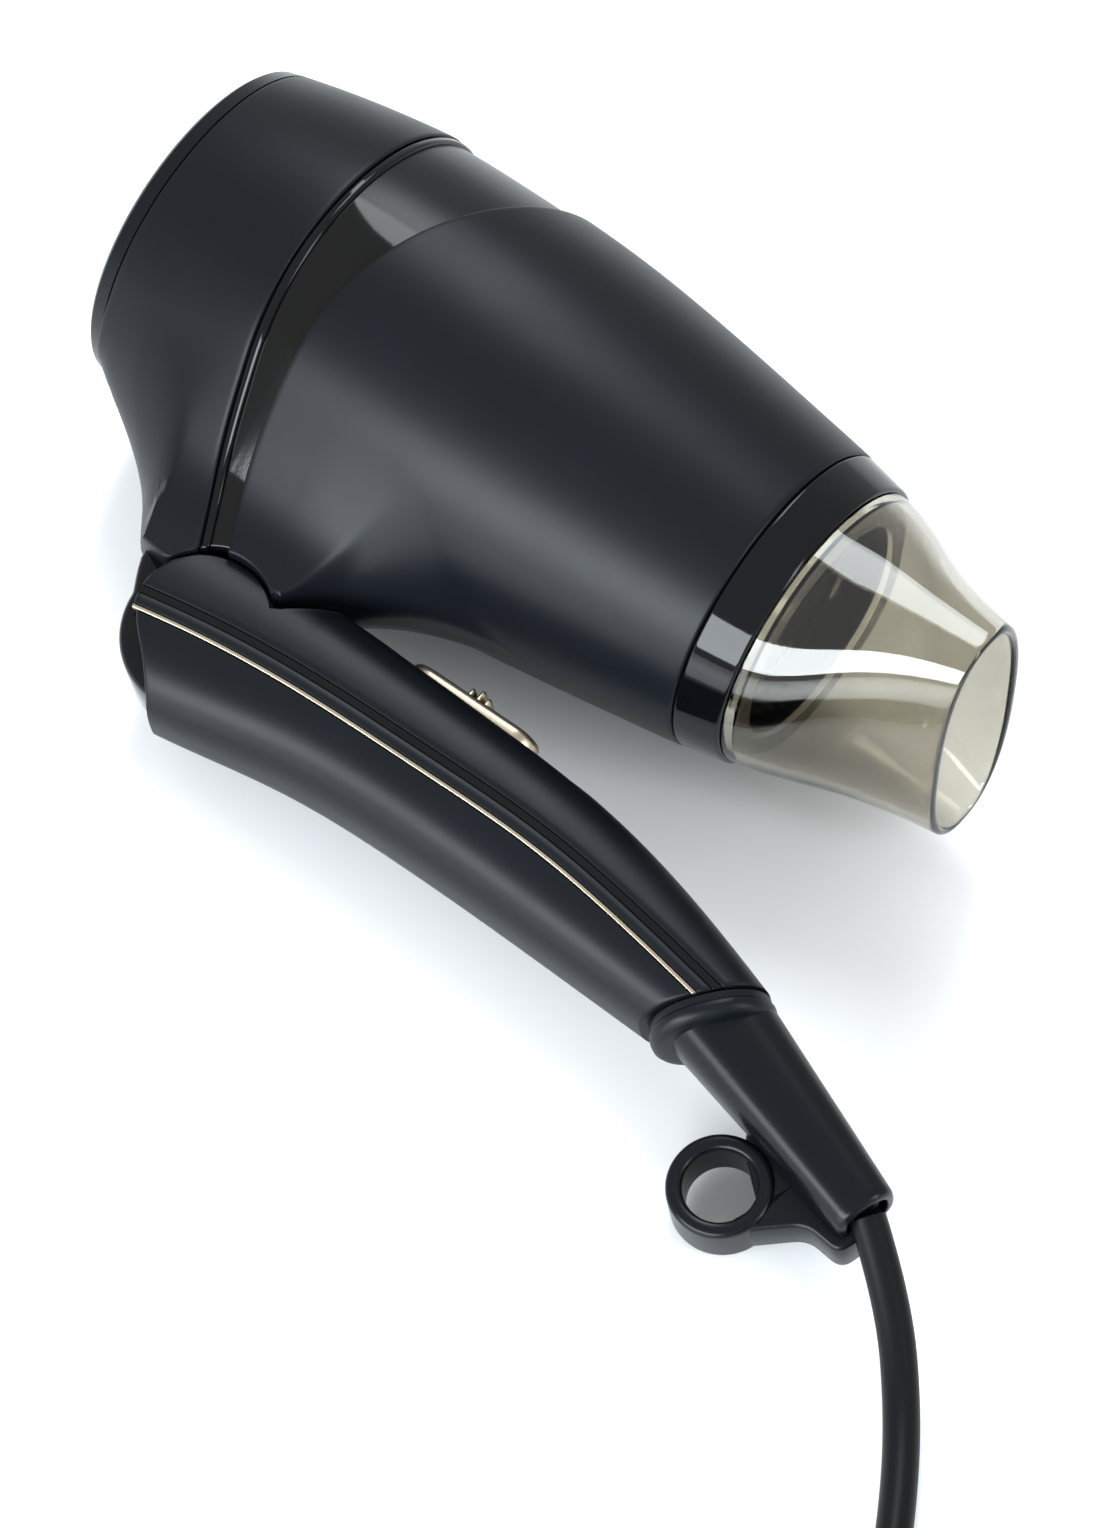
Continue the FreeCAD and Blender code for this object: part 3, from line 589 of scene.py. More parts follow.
@dataclass(frozen=True)
class Head:
    """Barrel with the neck that carries it on the hinge."""

    stations: tuple = ((0.0, 34.1), (3.7, 35.0), (14.0, 37.3), (26.0, 39.4), (37.0, 40.8),
                       (48.0, 41.2), (62.0, 41.2), (76.0, 40.8), (90.0, 39.7), (104.0, 38.0),
                       (118.0, 36.0), (130.0, 34.2), (140.0, 32.6), (149.5, 30.7))
    cover_x: float = 3.7
    ring_x: tuple[float, float] = (140.0, 149.5)
    ring_bore: float = 24.75
    ring_gap: float = 0.15          # seam between barrel and front ring, on the ring's side
    shell_gap: float = 0.1          # seam at each end of the shells
    overlap: float = 2.0            # how far the band runs under the shells
    pivot: tuple[float, float] = (57.3, -69.0)
    arc: float = 13.75
    band_drop: float = 1.2
    knuckle: float = 16.8
    knuckle_half: float = 7.3
    fillet: float = 14.0
    rim: float = 0.7                                # rounding of the cut edge at the hub
    slot_rear: tuple[float, float] = (33.0, 38.0)   # stations over which the cut edge starts
    slot_front: tuple[float, float] = (64.0, 77.0)  # and ends
    rear_taper: tuple[float, float] = (6.0, 34.0)   # stations over which the neck widens
    front_taper: tuple[float, float] = (60.0, 110.0)    # and runs out into the barrel
    round_reach: float = 19.0                       # height over which the neck rounds off below
    widest: float = 64.0                            # more than any half width
    halvings: int = 22
    guess_x: float = 30.0                           # station that the edges are solved from
    columns: int = 96

    def radius(self, x: Array) -> Array:
        """Barrel radius at station x."""
        return BARREL(x)

    def floor(self, x: Array) -> Array:
        """Lower outline of the head: neck's rear, round cut-out of the hub, shoulder, barrel."""
        return np.minimum(-BARREL(x), neck_floor(x))

    def open_below(self, x: Array) -> Array:
        """1 where the head ends at the hub in a cut edge, 0 where it rounds off below."""
        return smoothstep(x, *self.slot_rear) * (1 - smoothstep(x, *self.slot_front))

    def half_width(self, x: Array, y: Array) -> Array:
        """Half width of the neck: a curve in y, narrower towards the intake and to the front."""
        return (NECK_WIDTH(y) * (0.70 + 0.30 * smoothstep(x, *self.rear_taper))
                * np.sqrt(1 - smoothstep(x, *self.front_taper)))

    def height(self, x: Array, y: Array, depth: Array) -> Array:
        """Distance z of the skin from the middle plane, found by halving.

        The barrel's distance is sqrt(y^2 + z^2) - R.  The neck's is z less its half width, which
        a quarter ellipse rounds to nothing at the lower outline.  The smaller of the two is taken,
        less a parabola where they are close: that makes the fillet between barrel and neck.
        """
        r = self.radius(x) - depth
        reach = self.round_reach * (1 - self.open_below(x)) + TINY
        up = np.clip((y - self.floor(x) - depth + TINY) / reach, 0, 1)
        width = np.maximum(self.half_width(x, y) - depth, 0)
        neck = width * np.sqrt(np.clip(1 - (1 - up) ** 2, 0, 1))
        blend = self.fillet * np.clip(width / self.fillet, 0, 1) + TINY
        low, high = np.zeros_like(neck), np.full_like(neck, self.widest)
        for _ in range(self.halvings):
            z = (low + high) / 2
            to_barrel, to_neck = np.hypot(y, z) - r, z - neck
            near = np.clip(blend - np.abs(to_barrel - to_neck), 0, None) / blend
            inside = np.minimum(to_barrel, to_neck) - near * near * blend / 4 < 0
            low, high = np.where(inside, z, low), np.where(inside, high, z)
        return low

    def ring(self, rear: Curve, front: Curve, wall: Wall) -> Array:
        """Closed wall between two edges that cross the head.

        Args:
            rear: x of the rear edge as a function of y.
            front: x of the front edge.
            wall: its profile.

        Returns:
            Grid (profile, round the head, 3).
        """
        s, shift, depth = (v[:, None] for v in wall.profile())
        angle = np.linspace(0, math.pi, self.columns)[None, :]

        def y_of(x: Array) -> Array:
            low = self.floor(x) + depth + self.rim * self.open_below(x)
            high = self.radius(x) - depth
            return low + (high - low) * (1 + np.cos(angle)) / 2

        def x_of(y: Array) -> Array:
            return rear(y) + (front(y) - rear(y)) * s + shift
        x, y = settle(np.full((len(s), self.columns), self.guess_x), y_of, x_of)
        z = self.height(x, y, depth)
        z[:, 0] = 0
        return round_to_far_side(x, y, z, self.rim * self.open_below(x[:, -1]))

    def build(self) -> None:
        """Make the three shells, the front ring and the hinge eye."""
        shell = self.ring(SHELL_EDGE, lambda y: y * 0 + self.ring_x[0] - self.shell_gap,
                          Wall(rows=110))
        housing = self.ring(lambda y: y * 0 + self.cover_x + self.shell_gap, HOUSING_EDGE,
                            Wall(rows=48))
        band = self.ring(lambda y: HOUSING_EDGE(y) - self.overlap,
                         lambda y: SHELL_EDGE(y) + self.overlap,
                         Wall(base=self.band_drop, rows=40, edge=0.3))
        for name, node, grid, finish, slot in (
                ("barrel_skin", "barrel_shell", shell, SATIN, "satin_shell"),
                ("housing_skin", "rear_housing", housing, SATIN, "satin_shell"),
                ("band_skin", "gloss_band", band, PANEL, "gloss_black")):
            piece = grid_object(name, grid, finish, "head", slot, close_rows=True)
            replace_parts(piece, node)
        self.build_lip()
        self.build_ring()
        self.build_knuckle()

    def build_lip(self) -> None:
        """Narrow polished lip along the housing's front edge."""
        lip = self.ring(lambda y: HOUSING_EDGE(y) + 0.05, lambda y: HOUSING_EDGE(y) + 2.3,
                        Wall(base=0.35, rows=8, edge=0.8, thick=1.4))
        grid_object("housing_lip", lip, GLOSS, "head", "gloss_black", close_rows=True)

    def build_ring(self) -> None:
        """Front ring: a turned profile with rounded rims."""
        x0, x1 = self.ring_x
        r0, r1 = float(self.radius(x0)), float(self.radius(x1))
        rear = x0 + self.ring_gap
        profile = rounded([(rear, self.ring_bore), (rear, r0 - 0.05), (x1, r1 - 0.1),
                           (x1, self.ring_bore)], 0.8)
        ring = grid_object("front_ring_skin", turned(profile, 128), GLOSS, "head", "gloss_black",
                           close_rows=True)
        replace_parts(ring, "front_ring")

    def build_knuckle(self) -> None:
        """Hinge eye: a round slab with the root that runs up into the neck."""
        px, py = self.pivot
        angle = np.radians(np.linspace(186, 400, 60))
        eye = np.column_stack([px + self.knuckle * np.cos(angle), py + self.knuckle * np.sin(angle)])
        root = [(66.0, -50.5), (39.0, -50.5), (36.6, -62.4), (38.2, -66.4)]
        outline = rounded([*eye.tolist(), *root], 3.0, 3)
        grid = slab_points(outline, -self.knuckle_half, self.knuckle_half, 1.6)
        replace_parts(grid_object("hinge_eye", grid, GLOSS, "head", "gloss_black"), "hinge_knuckle")


def round_to_far_side(x: Array, y: Array, z: Array, edge: Array) -> Array:
    """Carry a near side over its lower edge, across, and up the far side.

    Args:
        x: near side stations, last column at the edge.
        y: heights.
        z: distances from the middle plane.
        edge: radius of the rounded rim in each row.

    Returns:
        Closed loops (rows, columns, 3).
    """
    turn = np.radians([30.0, 60.0, 90.0])[None, :]
    e = np.minimum(edge, 0.4 * z[:, -1])[:, None]
    end_x, end_y, end_z = x[:, -1:], y[:, -1:], z[:, -1:]
    rim_y, rim_z = end_y - e * np.sin(turn), end_z - e * (1 - np.cos(turn))
    near = [np.stack([x, y, z], -1),
            np.stack([end_x + 0 * turn, rim_y, rim_z], -1)]
    share = np.array([[0.5, 0.0]])
    flat = np.stack([end_x + 0 * share, rim_y[:, -1:] + 0 * share, rim_z[:, -1:] * share], -1)
    mirror = np.array([1, 1, -1])
    far = [(flat[:, :1] * mirror), (near[1] * mirror)[:, ::-1], (near[0] * mirror)[:, :0:-1]]
    return np.concatenate([*near, flat, *far], 1)


def turned(profile: Array, count: int) -> Array:
    """Turn a closed profile (x, radius) about the barrel axis."""
    a = circle(count)
    x, r = profile[:, :1], profile[:, 1:]
    return np.stack([x + 0 * a, r * np.cos(a), r * np.sin(a)], -1)


def hub_arc(pivot: tuple[float, float], radius: float, start: float, end: float) -> list:
    """Points of a round edge about the hinge pivot."""
    angle = np.radians(np.linspace(start, end, 50))
    return list(zip(pivot[0] + radius * np.cos(angle), pivot[1] + radius * np.sin(angle)))


HEAD = Head()
BARREL = Spline(HEAD.stations)
NECK_POINTS = polyline([(3.7, -35.0), (6.2, -37.2), (9.5, -39.2), (13.0, -41.4), (17.0, -44.0),
                       (21.0, -46.8), (24.7, -49.8), (28.0, -52.9), (30.6, -56.2), (33.0, -60.0),
                       (34.6, -61.8), (36.4, -62.5), (44.4, -63.4),
                       *hub_arc(HEAD.pivot, HEAD.arc, 155.6, 46.5),
                       (77.0, -49.2), (81.0, -46.0), (85.5, -43.2), (91.0, -41.0), (98.0, -39.3),
                       (106.0, -37.7), (140.0, -20.0)])


def neck_floor(x: Array) -> Array:
    """Neck's lower outline, averaged over a stretch that widens beyond the hub."""
    x = np.asarray(x, float)
    reach = 7.0 * smoothstep(x, 67.0, 82.0) + 2.5 * (1 - smoothstep(x, 28.0, 36.0))
    return sum(NECK_POINTS(x + reach * d) for d in np.linspace(-1, 1, 9)) / 9


NECK_WIDTH = Spline([(-72.0, 14.3), (-62.0, 14.3), (-56.0, 14.4), (-50.0, 15.0), (-43.0, 16.5),
                     (-35.0, 18.0), (-27.0, 17.0), (-16.0, 11.0), (-4.0, 0.0)])
HOUSING_EDGE = Spline([(60.0, 37.5), (34.0, 35.6), (12.0, 35.2), (-12.0, 35.9), (-29.6, 38.3),
                       (-45.0, 42.3), (-58.5, 48.5), (-68.0, 53.0)])
SHELL_EDGE = Spline([(60.0, 83.6), (41.0, 68.6), (29.0, 61.0), (12.8, 53.4), (-0.5, 49.1),
                     (-14.0, 46.7), (-28.0, 46.3), (-43.0, 48.2), (-55.8, 53.5), (-68.0, 59.0)])


# ------------------------------------------------------------------ nozzle
@dataclass(frozen=True)
class Nozzle:
    """Clear concentrator: a round socket swept to a wide oval mouth."""

    mouth_x: float = 187.2
    start_x: float = 149.8
    wall: float = 1.8
    lip_start: float = 0.7          # distance from the mouth at which the lip starts to round
    step: float = 1.6               # thickness of the shoulder between cone and socket
    socket_x: float = 142.0         # rear end of the socket
    socket_radii: tuple[float, float] = (23.0, 24.6)
    turn: float = math.radians(12.0)
    columns: int = 160

    def loop(self, x: Array, depth: Array) -> Array:
        """Oval sections: half sizes and roundness are curves in x, all turned a little."""
        half_y = Spline([(149.8, 29.8), (154.5, 28.5), (168.0, 21.0), (178.0, 16.2),
                         (187.2, 13.0)])(x) - depth
        half_z = Spline([(149.8, 29.8), (154.5, 29.8), (168.0, 30.3), (187.2, 31.3)])(x) - depth
        power = Spline([(149.8, 2.0), (154.5, 2.0), (168.0, 2.15), (187.2, 2.4)])(x)
        return self.oval(x, half_y, half_z, power)

    def oval(self, x: Array, half_y: Array, half_z: Array, power: Array) -> Array:
        """Superellipse |y/a|^p + |z/b|^p = 1 at each station, turned about the barrel axis."""
        a = circle(self.columns)
        p = 2 / power[:, None]
        y = half_y[:, None] * signed_power(np.cos(a), p)
        z = half_z[:, None] * signed_power(np.sin(a), p)
        ct, st = math.cos(self.turn), math.sin(self.turn)
        return np.stack([x[:, None] + 0 * a, y * ct + z * st, z * ct - y * st], -1)

    def build(self) -> None:
        """Outside to the mouth, round the lip, back inside and round the socket."""
        lip, inner_x = self.wall / 2, self.start_x + self.step
        out = np.linspace(self.start_x, self.mouth_x - self.lip_start, 46)
        turn = np.radians(np.linspace(0, 180, 7)[1:-1])
        lip_x = self.mouth_x - lip + lip * np.sin(turn)
        lip_depth = lip * (1 - np.cos(turn))
        back = np.linspace(self.mouth_x - lip, inner_x, 46)
        outside = self.loop(np.concatenate([out, lip_x, back]),
                            np.concatenate([out * 0, lip_depth, back * 0 + self.wall]))
        bore, outer = self.socket_radii
        socket = np.array([(inner_x, bore), (self.socket_x, bore), (self.socket_x, outer),
                           (self.start_x, outer)])
        tube = self.oval(socket[:, 0], socket[:, 1], socket[:, 1], np.full(4, 2.0))
        grid = np.concatenate([outside, tube])
        piece = grid_object("nozzle_clear", grid, SMOKE, "nozzle", "smoke_clear", close_rows=True)
        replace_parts(piece, "nozzle")


# ------------------------------------------------------------------ handle
@dataclass(frozen=True)
class Handle:
    """Curved handle in two shells, split along the pinstripe."""

    power: float = 2.6
    cheek: float = 13.2
    slot_half: float = 7.7
    slot_radius: float = 17.4
    shoulder: float = math.radians(41.9)
    gap: float = 0.45
    inlay: tuple[float, float] = (2.85, 4.75)               # groove's edges above the parting
    inlay_gap: float = 0.12         # between the groove's edge and the inlay
    stripe_half: float = 0.36       # half width of the pinstripe
    edge: float = 0.6               # rounding of the shells' ends
    rim: float = 0.6                # rounding of the cut edge at the hub
    cut_end: float = 74.4           # station where the walls of the hub's slot end
    cut_fade: float = 0.2           # length over which they end
    capped: float = 99.0            # marks the end rows that close onto the slot's walls
    guess_x: float = 110.0          # station that the edges are solved from
    seat: tuple[float, float, float] = (84.6, 139.6, 7.6)   # switch seat: ends and half width
    seat_y: tuple[float, float] = (-56.6, -44.0)            # its floor, and clear above the skin
    columns: int = 44
    rows: int = 150

    def top(self, x: Array) -> Array:
        """Inner outline: round cheek, straight shoulder, then the handle's own curve."""
        px, py = HEAD.pivot
        bow = np.sqrt(np.clip(self.cheek ** 2 - (x - px) ** 2, 0, None))
        meet = px + self.cheek * math.cos(self.shoulder)
        cheek = py + np.where(x < meet, bow, self.cheek * math.sin(self.shoulder)
                              + (x - meet) * math.tan(self.shoulder))
        return np.minimum(cheek, HANDLE_TOP(x))

    def open_above(self, x: Array) -> Array:
        """1 where the inner outline is a cut edge."""
        return 1 - smoothstep(x, 74.0, 80.0)

    def section(self, x: Array) -> tuple[Array, Array]:
        """Middle height and half height of the section at x."""
        return (HANDLE_TOP(x) + HANDLE_LOW(x)) / 2, (HANDLE_TOP(x) - HANDLE_LOW(x)) / 2

    def half(self, x: Array, y: Array) -> Array:
        """Half width at a height: superellipse of the section at x."""
        middle, reach = self.section(x)
        share = np.clip(np.abs(y - middle) / reach, 0, 1)
        return HANDLE_HALF(x) * (1 - share ** self.power) ** (1 / self.power)

    def angle(self, x: Array, y: Array) -> Array:
        """Section angle of a height, from -90 degrees at the spine to 90 inside."""
        middle, reach = self.section(x)
        share = np.clip((y - middle) / reach, -1, 1)
        return np.arcsin(signed_power(share, self.power / 2))

    def at_angle(self, x: Array, angle: Array) -> Array:
        """Height at a section angle, the inverse of angle()."""
        middle, reach = self.section(x)
        return middle + reach * signed_power(np.sin(angle), 2 / self.power)

    def end_rows(self) -> tuple[Array, Array, Array]:
        """Rows along the handle: share, shift along x, and how far the ends have turned in."""
        turn = np.radians([90.0, 60.0, 30.0])
        edge, even = self.edge, np.linspace(0, 1, self.rows)
        closer = 0.5 - 0.5 * np.cos(np.linspace(0, math.pi, self.rows))
        share = 0.4 * closer + 0.6 * even
        s = np.concatenate([np.zeros(4), share, np.ones(4)])
        lift = edge * (1 - np.sin(turn))
        drop = edge * (1 - np.cos(turn))
        shift = np.concatenate([[0], lift, edge * (1 - 2 * share), -lift[::-1], [0]])
        inner = np.concatenate([[self.capped], drop, share * 0, drop[::-1], [self.capped]])
        return s[:, None], shift[:, None], inner[:, None]

    def panel(self, y_of: Callable[[Array], Array], dips: Array, left: Curve) -> tuple:
        """Near side of a shell.

        Args:
            y_of: heights of all columns at stations x.
            dips: depth of each column below the skin.
            left: x of the hub end as a function of y.

        Returns:
            Arrays x, y, z and the rows' inward turn.
        """
        s, shift, inner = self.end_rows()

        def x_of(y: Array) -> Array:
            return left(y) + (HANDLE_END(y) - left(y)) * s + shift
        x, y = settle(np.full((len(s), len(dips)), self.guess_x), y_of, x_of)
        z = self.half(x, y) - dips[None, :]
        return x, y, np.maximum(z, 0), inner

    def turn_in(self, z: Array, inner: Array) -> Array:
        """Draw the end rows in to the slot's walls, or by the rounding of their edge."""
        keep = np.where(inner == self.capped, self.slot_half, 1e3)
        fall = np.where(inner == self.capped, 0, inner)
        return np.minimum(np.maximum(z - fall, 0), keep)

    def build_grip(self) -> bpy.types.Object:
        """Inner shell: up from the pinstripe, past the inlay's groove, over and down."""
        low, high = self.inlay
        offs = np.array([self.gap, self.gap + 0.3, 1.6, low - 0.25, low, low + 0.05, high - 0.05,
                         high, high + 0.25, 6.2])
        dips = np.array([0.3, 0, 0, 0, 0.15, 0.8, 0.8, 0.15, 0, 0])
        share = np.linspace(0, 1, self.columns)[1:]
        dips = np.concatenate([dips, share * 0])

        def y_of(x: Array) -> Array:
            part = PARTING(x[:, :len(offs)]) + offs
            rest = x[:, len(offs):]
            start = self.angle(rest, PARTING(rest) + offs[-1])
            stop = self.angle(rest, self.top(rest) - self.rim * self.open_above(rest))
            return np.concatenate([part, self.at_angle(rest, start + (stop - start) * share)], 1)
        x, y, z, inner = self.panel(y_of, dips, hub_left)
        e = self.rim * self.open_above(x[:, -1:])
        turn = np.radians([[30.0, 60.0, 90.0]])
        rim_y, rim_z = y[:, -1:] + e * np.sin(turn), z[:, -1:] - e * (1 - np.cos(turn))
        cut = np.clip((self.cut_end - x[:, -1:]) / self.cut_fade, 0, 1)
        wall_z = np.minimum(rim_z[:, -1:], self.slot_half)
        dip_y = rim_y[:, -1:] + (PARTING(x[:, -1:]) + self.gap - rim_y[:, -1:]) * cut
        x = np.concatenate([x, np.repeat(x[:, -1:], 5, 1)], 1)
        y = np.concatenate([y, rim_y, rim_y[:, -1:], dip_y], 1)
        z = np.concatenate([z, rim_z, wall_z, wall_z], 1)
        z = self.turn_in(z, inner)
        near = np.stack([x, y, z], -1)
        return self.close("grip_skin", near, "grip_shell")

    def build_spine(self) -> bpy.types.Object:
        """Outer shell: down from the pinstripe, round the spine and up, with the hub's slot."""
        share = np.linspace(0, 1, self.columns)[1:]
        dips = np.concatenate([[0.3, 0], share * 0])

        def y_of(x: Array) -> Array:
            part = PARTING(x[:, :2]) - np.array([self.gap, self.gap + 0.3])
            rest = x[:, 2:]
            start = self.angle(rest, PARTING(rest) - self.gap - 0.3)
            return np.concatenate([part, self.at_angle(rest, start - (math.pi / 2 + start) * share)],
                                  1)
        x, y, z, inner = self.panel(y_of, dips, HEEL_LEFT)
        px, py = HEAD.pivot
        edge_x, edge_y = x[:, :1], y[:, :1]
        bow = np.sqrt(np.clip(self.slot_radius ** 2 - (edge_x - px) ** 2, 0, None))
        floor = np.minimum(edge_y, np.where(bow > 0, np.maximum(py - bow, HEEL_FLOOR(edge_x)), 1e3))
        wall_z = np.minimum(z[:, :1], self.slot_half)
        x = np.concatenate([edge_x, edge_x, x], 1)
        y = np.concatenate([floor, edge_y, y], 1)
        z = np.concatenate([wall_z, wall_z, z], 1)
        z = self.turn_in(z, inner)
        near = np.stack([x, y, z], -1)
        return self.close("spine_skin", near, "spine_shell")

    def close(self, name: str, near: Array, node: str) -> bpy.types.Object:
        """Mirror a near side and join the two into one closed skin."""
        grid = np.concatenate([near, near[:, ::-1] * np.array([1, 1, -1])], 1)
        piece = grid_object(name, grid, SATIN, "handle", "satin_shell")
        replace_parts(piece, node)
        return piece

    def strip(self, low: float, high: float, proud: float, deep: float, side: int) -> Array:
        """Thin strip let into the side, its outside proud of the skin."""
        offs = np.array([low, low, low + 0.12, high - 0.12, high, high])
        dips = np.array([deep, -proud + 0.12, -proud, -proud, -proud + 0.12, deep])

        def y_of(x: Array) -> Array:
            return PARTING(x) + offs
        x, y, z, _ = self.panel(y_of, dips, hub_left)
        return np.stack([x, y, z * side], -1)

    def build_strips(self) -> None:
        """Champagne pinstripe and dark inlay on both sides."""
        for name, side in (("left", 1), ("right", -1)):
            trim = self.strip(-self.stripe_half, self.stripe_half, 0.12, 0.9, side)
            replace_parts(grid_object("pinstripe_" + name, trim, CHAMPAGNE, "handle", "champagne"),
                        "trim_strip_" + name)
            inlay = self.strip(self.inlay[0] + self.inlay_gap, self.inlay[1] - self.inlay_gap,
                               -0.3, 1.0, side)
            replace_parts(grid_object("inlay_" + name, inlay, GLOSS, "handle", "gloss_black"),
                        "dark_inlay_" + name)

    def cut_seat(self, grip: bpy.types.Object) -> None:
        """Cut the switch's oval seat out of the inner shell."""
        grid = slab_points(stadium(*self.seat), *self.seat_y, 0.2)[..., [0, 2, 1]]
        cutter = grid_object("seat_cutter", grid, GLOSS, "handle", "gloss_black")
        cut = grip.modifiers.new("seat", "BOOLEAN")
        cut.object, cut.operation, cut.solver = cutter, "DIFFERENCE", "EXACT"
        view = bpy.context.evaluated_depsgraph_get()
        mesh = bpy.data.meshes.new_from_object(grip.evaluated_get(view))
        grip.modifiers.clear()
        grip.data = mesh
        mesh.set_sharp_from_angle(angle=SHARP)
        bpy.data.objects.remove(cutter)

    def build(self) -> None:
        """Make both shells, the cheeks' strips and the switch's seat."""
        self.build_spine()
        self.cut_seat(self.build_grip())
        self.build_strips()


HANDLE = Handle()
HANDLE_TOP = Spline([(40.0, -50.0), (60.0, -50.3), (85.0, -50.6), (112.0, -51.4), (140.0, -53.2),
                     (165.0, -58.2), (190.0, -65.8)])
HANDLE_LOW = Spline([(40.0, -91.2), (60.0, -88.6), (85.0, -84.3), (112.0, -82.8), (140.0, -83.1),
                     (165.0, -83.8), (190.0, -84.4)])
HANDLE_HALF = Spline([(40.0, 14.6), (60.0, 14.6), (85.0, 15.0), (112.0, 15.0), (140.0, 14.4),
                      (165.0, 13.4), (190.0, 12.4)])
PARTING = Spline([(36.0, -76.6), (60.0, -72.4), (85.0, -70.4), (110.0, -69.9), (137.0, -70.0),
                  (160.0, -72.4), (192.0, -77.6)])
HANDLE_END = polyline([(-95.0, 161.8), (-82.8, 172.4), (-64.8, 188.0), (-50.0, 200.8)])
HEEL_LEFT = Spline([(-96.0, 58.4), (-89.0, 58.3), (-85.0, 55.7), (-80.6, 51.8), (-77.4, 48.4),
                    (-74.0, 45.9), (-70.0, 44.5)])
HEEL_FLOOR = polyline([(44.5, -70.0), (45.9, -74.0), (48.2, -77.4), (51.6, -80.6), (55.6, -85.0),
                       (58.3, -89.0)])


def hub_left(y: Array) -> Array:
    """Hub end of the inner shell: the cheek's round edge."""
    px, py = HEAD.pivot
    lift = np.clip(np.abs(y - py), 0, HANDLE.cheek * math.sin(math.radians(46.0)))
    return px - np.sqrt(HANDLE.cheek ** 2 - lift ** 2)


def stadium(x0: float, x1: float, half: float, count: int = 24) -> Array:
    """Closed outline (x, z) with round ends."""
    a = np.linspace(-math.pi / 2, math.pi / 2, count)
    right = np.column_stack([x1 - half + half * np.cos(a), half * np.sin(a)])
    left = np.column_stack([x0 + half - half * np.cos(a), -half * np.sin(a)])
    return np.vstack([right, left])


# ------------------------------------------------------------------ switch
@dataclass(frozen=True)
class Switch:
    """Slide switch with three small thumb ribs."""

    x0: float = 92.0
    x1: float = 122.0
    half: float = 5.0
    cap_y: tuple[float, float] = (-54.2, -49.5)
    rib_foot: float = -50.4
    rib_half: float = 0.8
    rib_widening: float = 4.2       # length of a rib over its thickness
    ribs: tuple = ((-1.9, -48.0), (0.0, -47.3), (1.9, -48.0))   # shift along x, and top

    def build(self) -> None:
        """Rounded cap, and ribs across its middle."""
        cap = slab_points(stadium(self.x0, self.x1, self.half), *self.cap_y, 1.4, dome=0.5)
        piece = grid_object("slider_cap", cap[..., [0, 2, 1]], CHAMPAGNE, "slider", "champagne")
        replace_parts(piece, "switch_slider")
        middle = (self.x0 + self.x1) / 2
        for i, (offset, height) in enumerate(self.ribs):
            outline = stadium(middle + offset - self.rib_half, middle + offset + self.rib_half,
                              self.rib_half, 8)
            outline[:, 1] *= self.rib_widening
            rib = slab_points(outline, self.rib_foot, height, 0.5)
            grid_object(f"slider_rib_{i}", rib[..., [0, 2, 1]], CHAMPAGNE, "slider", "champagne")


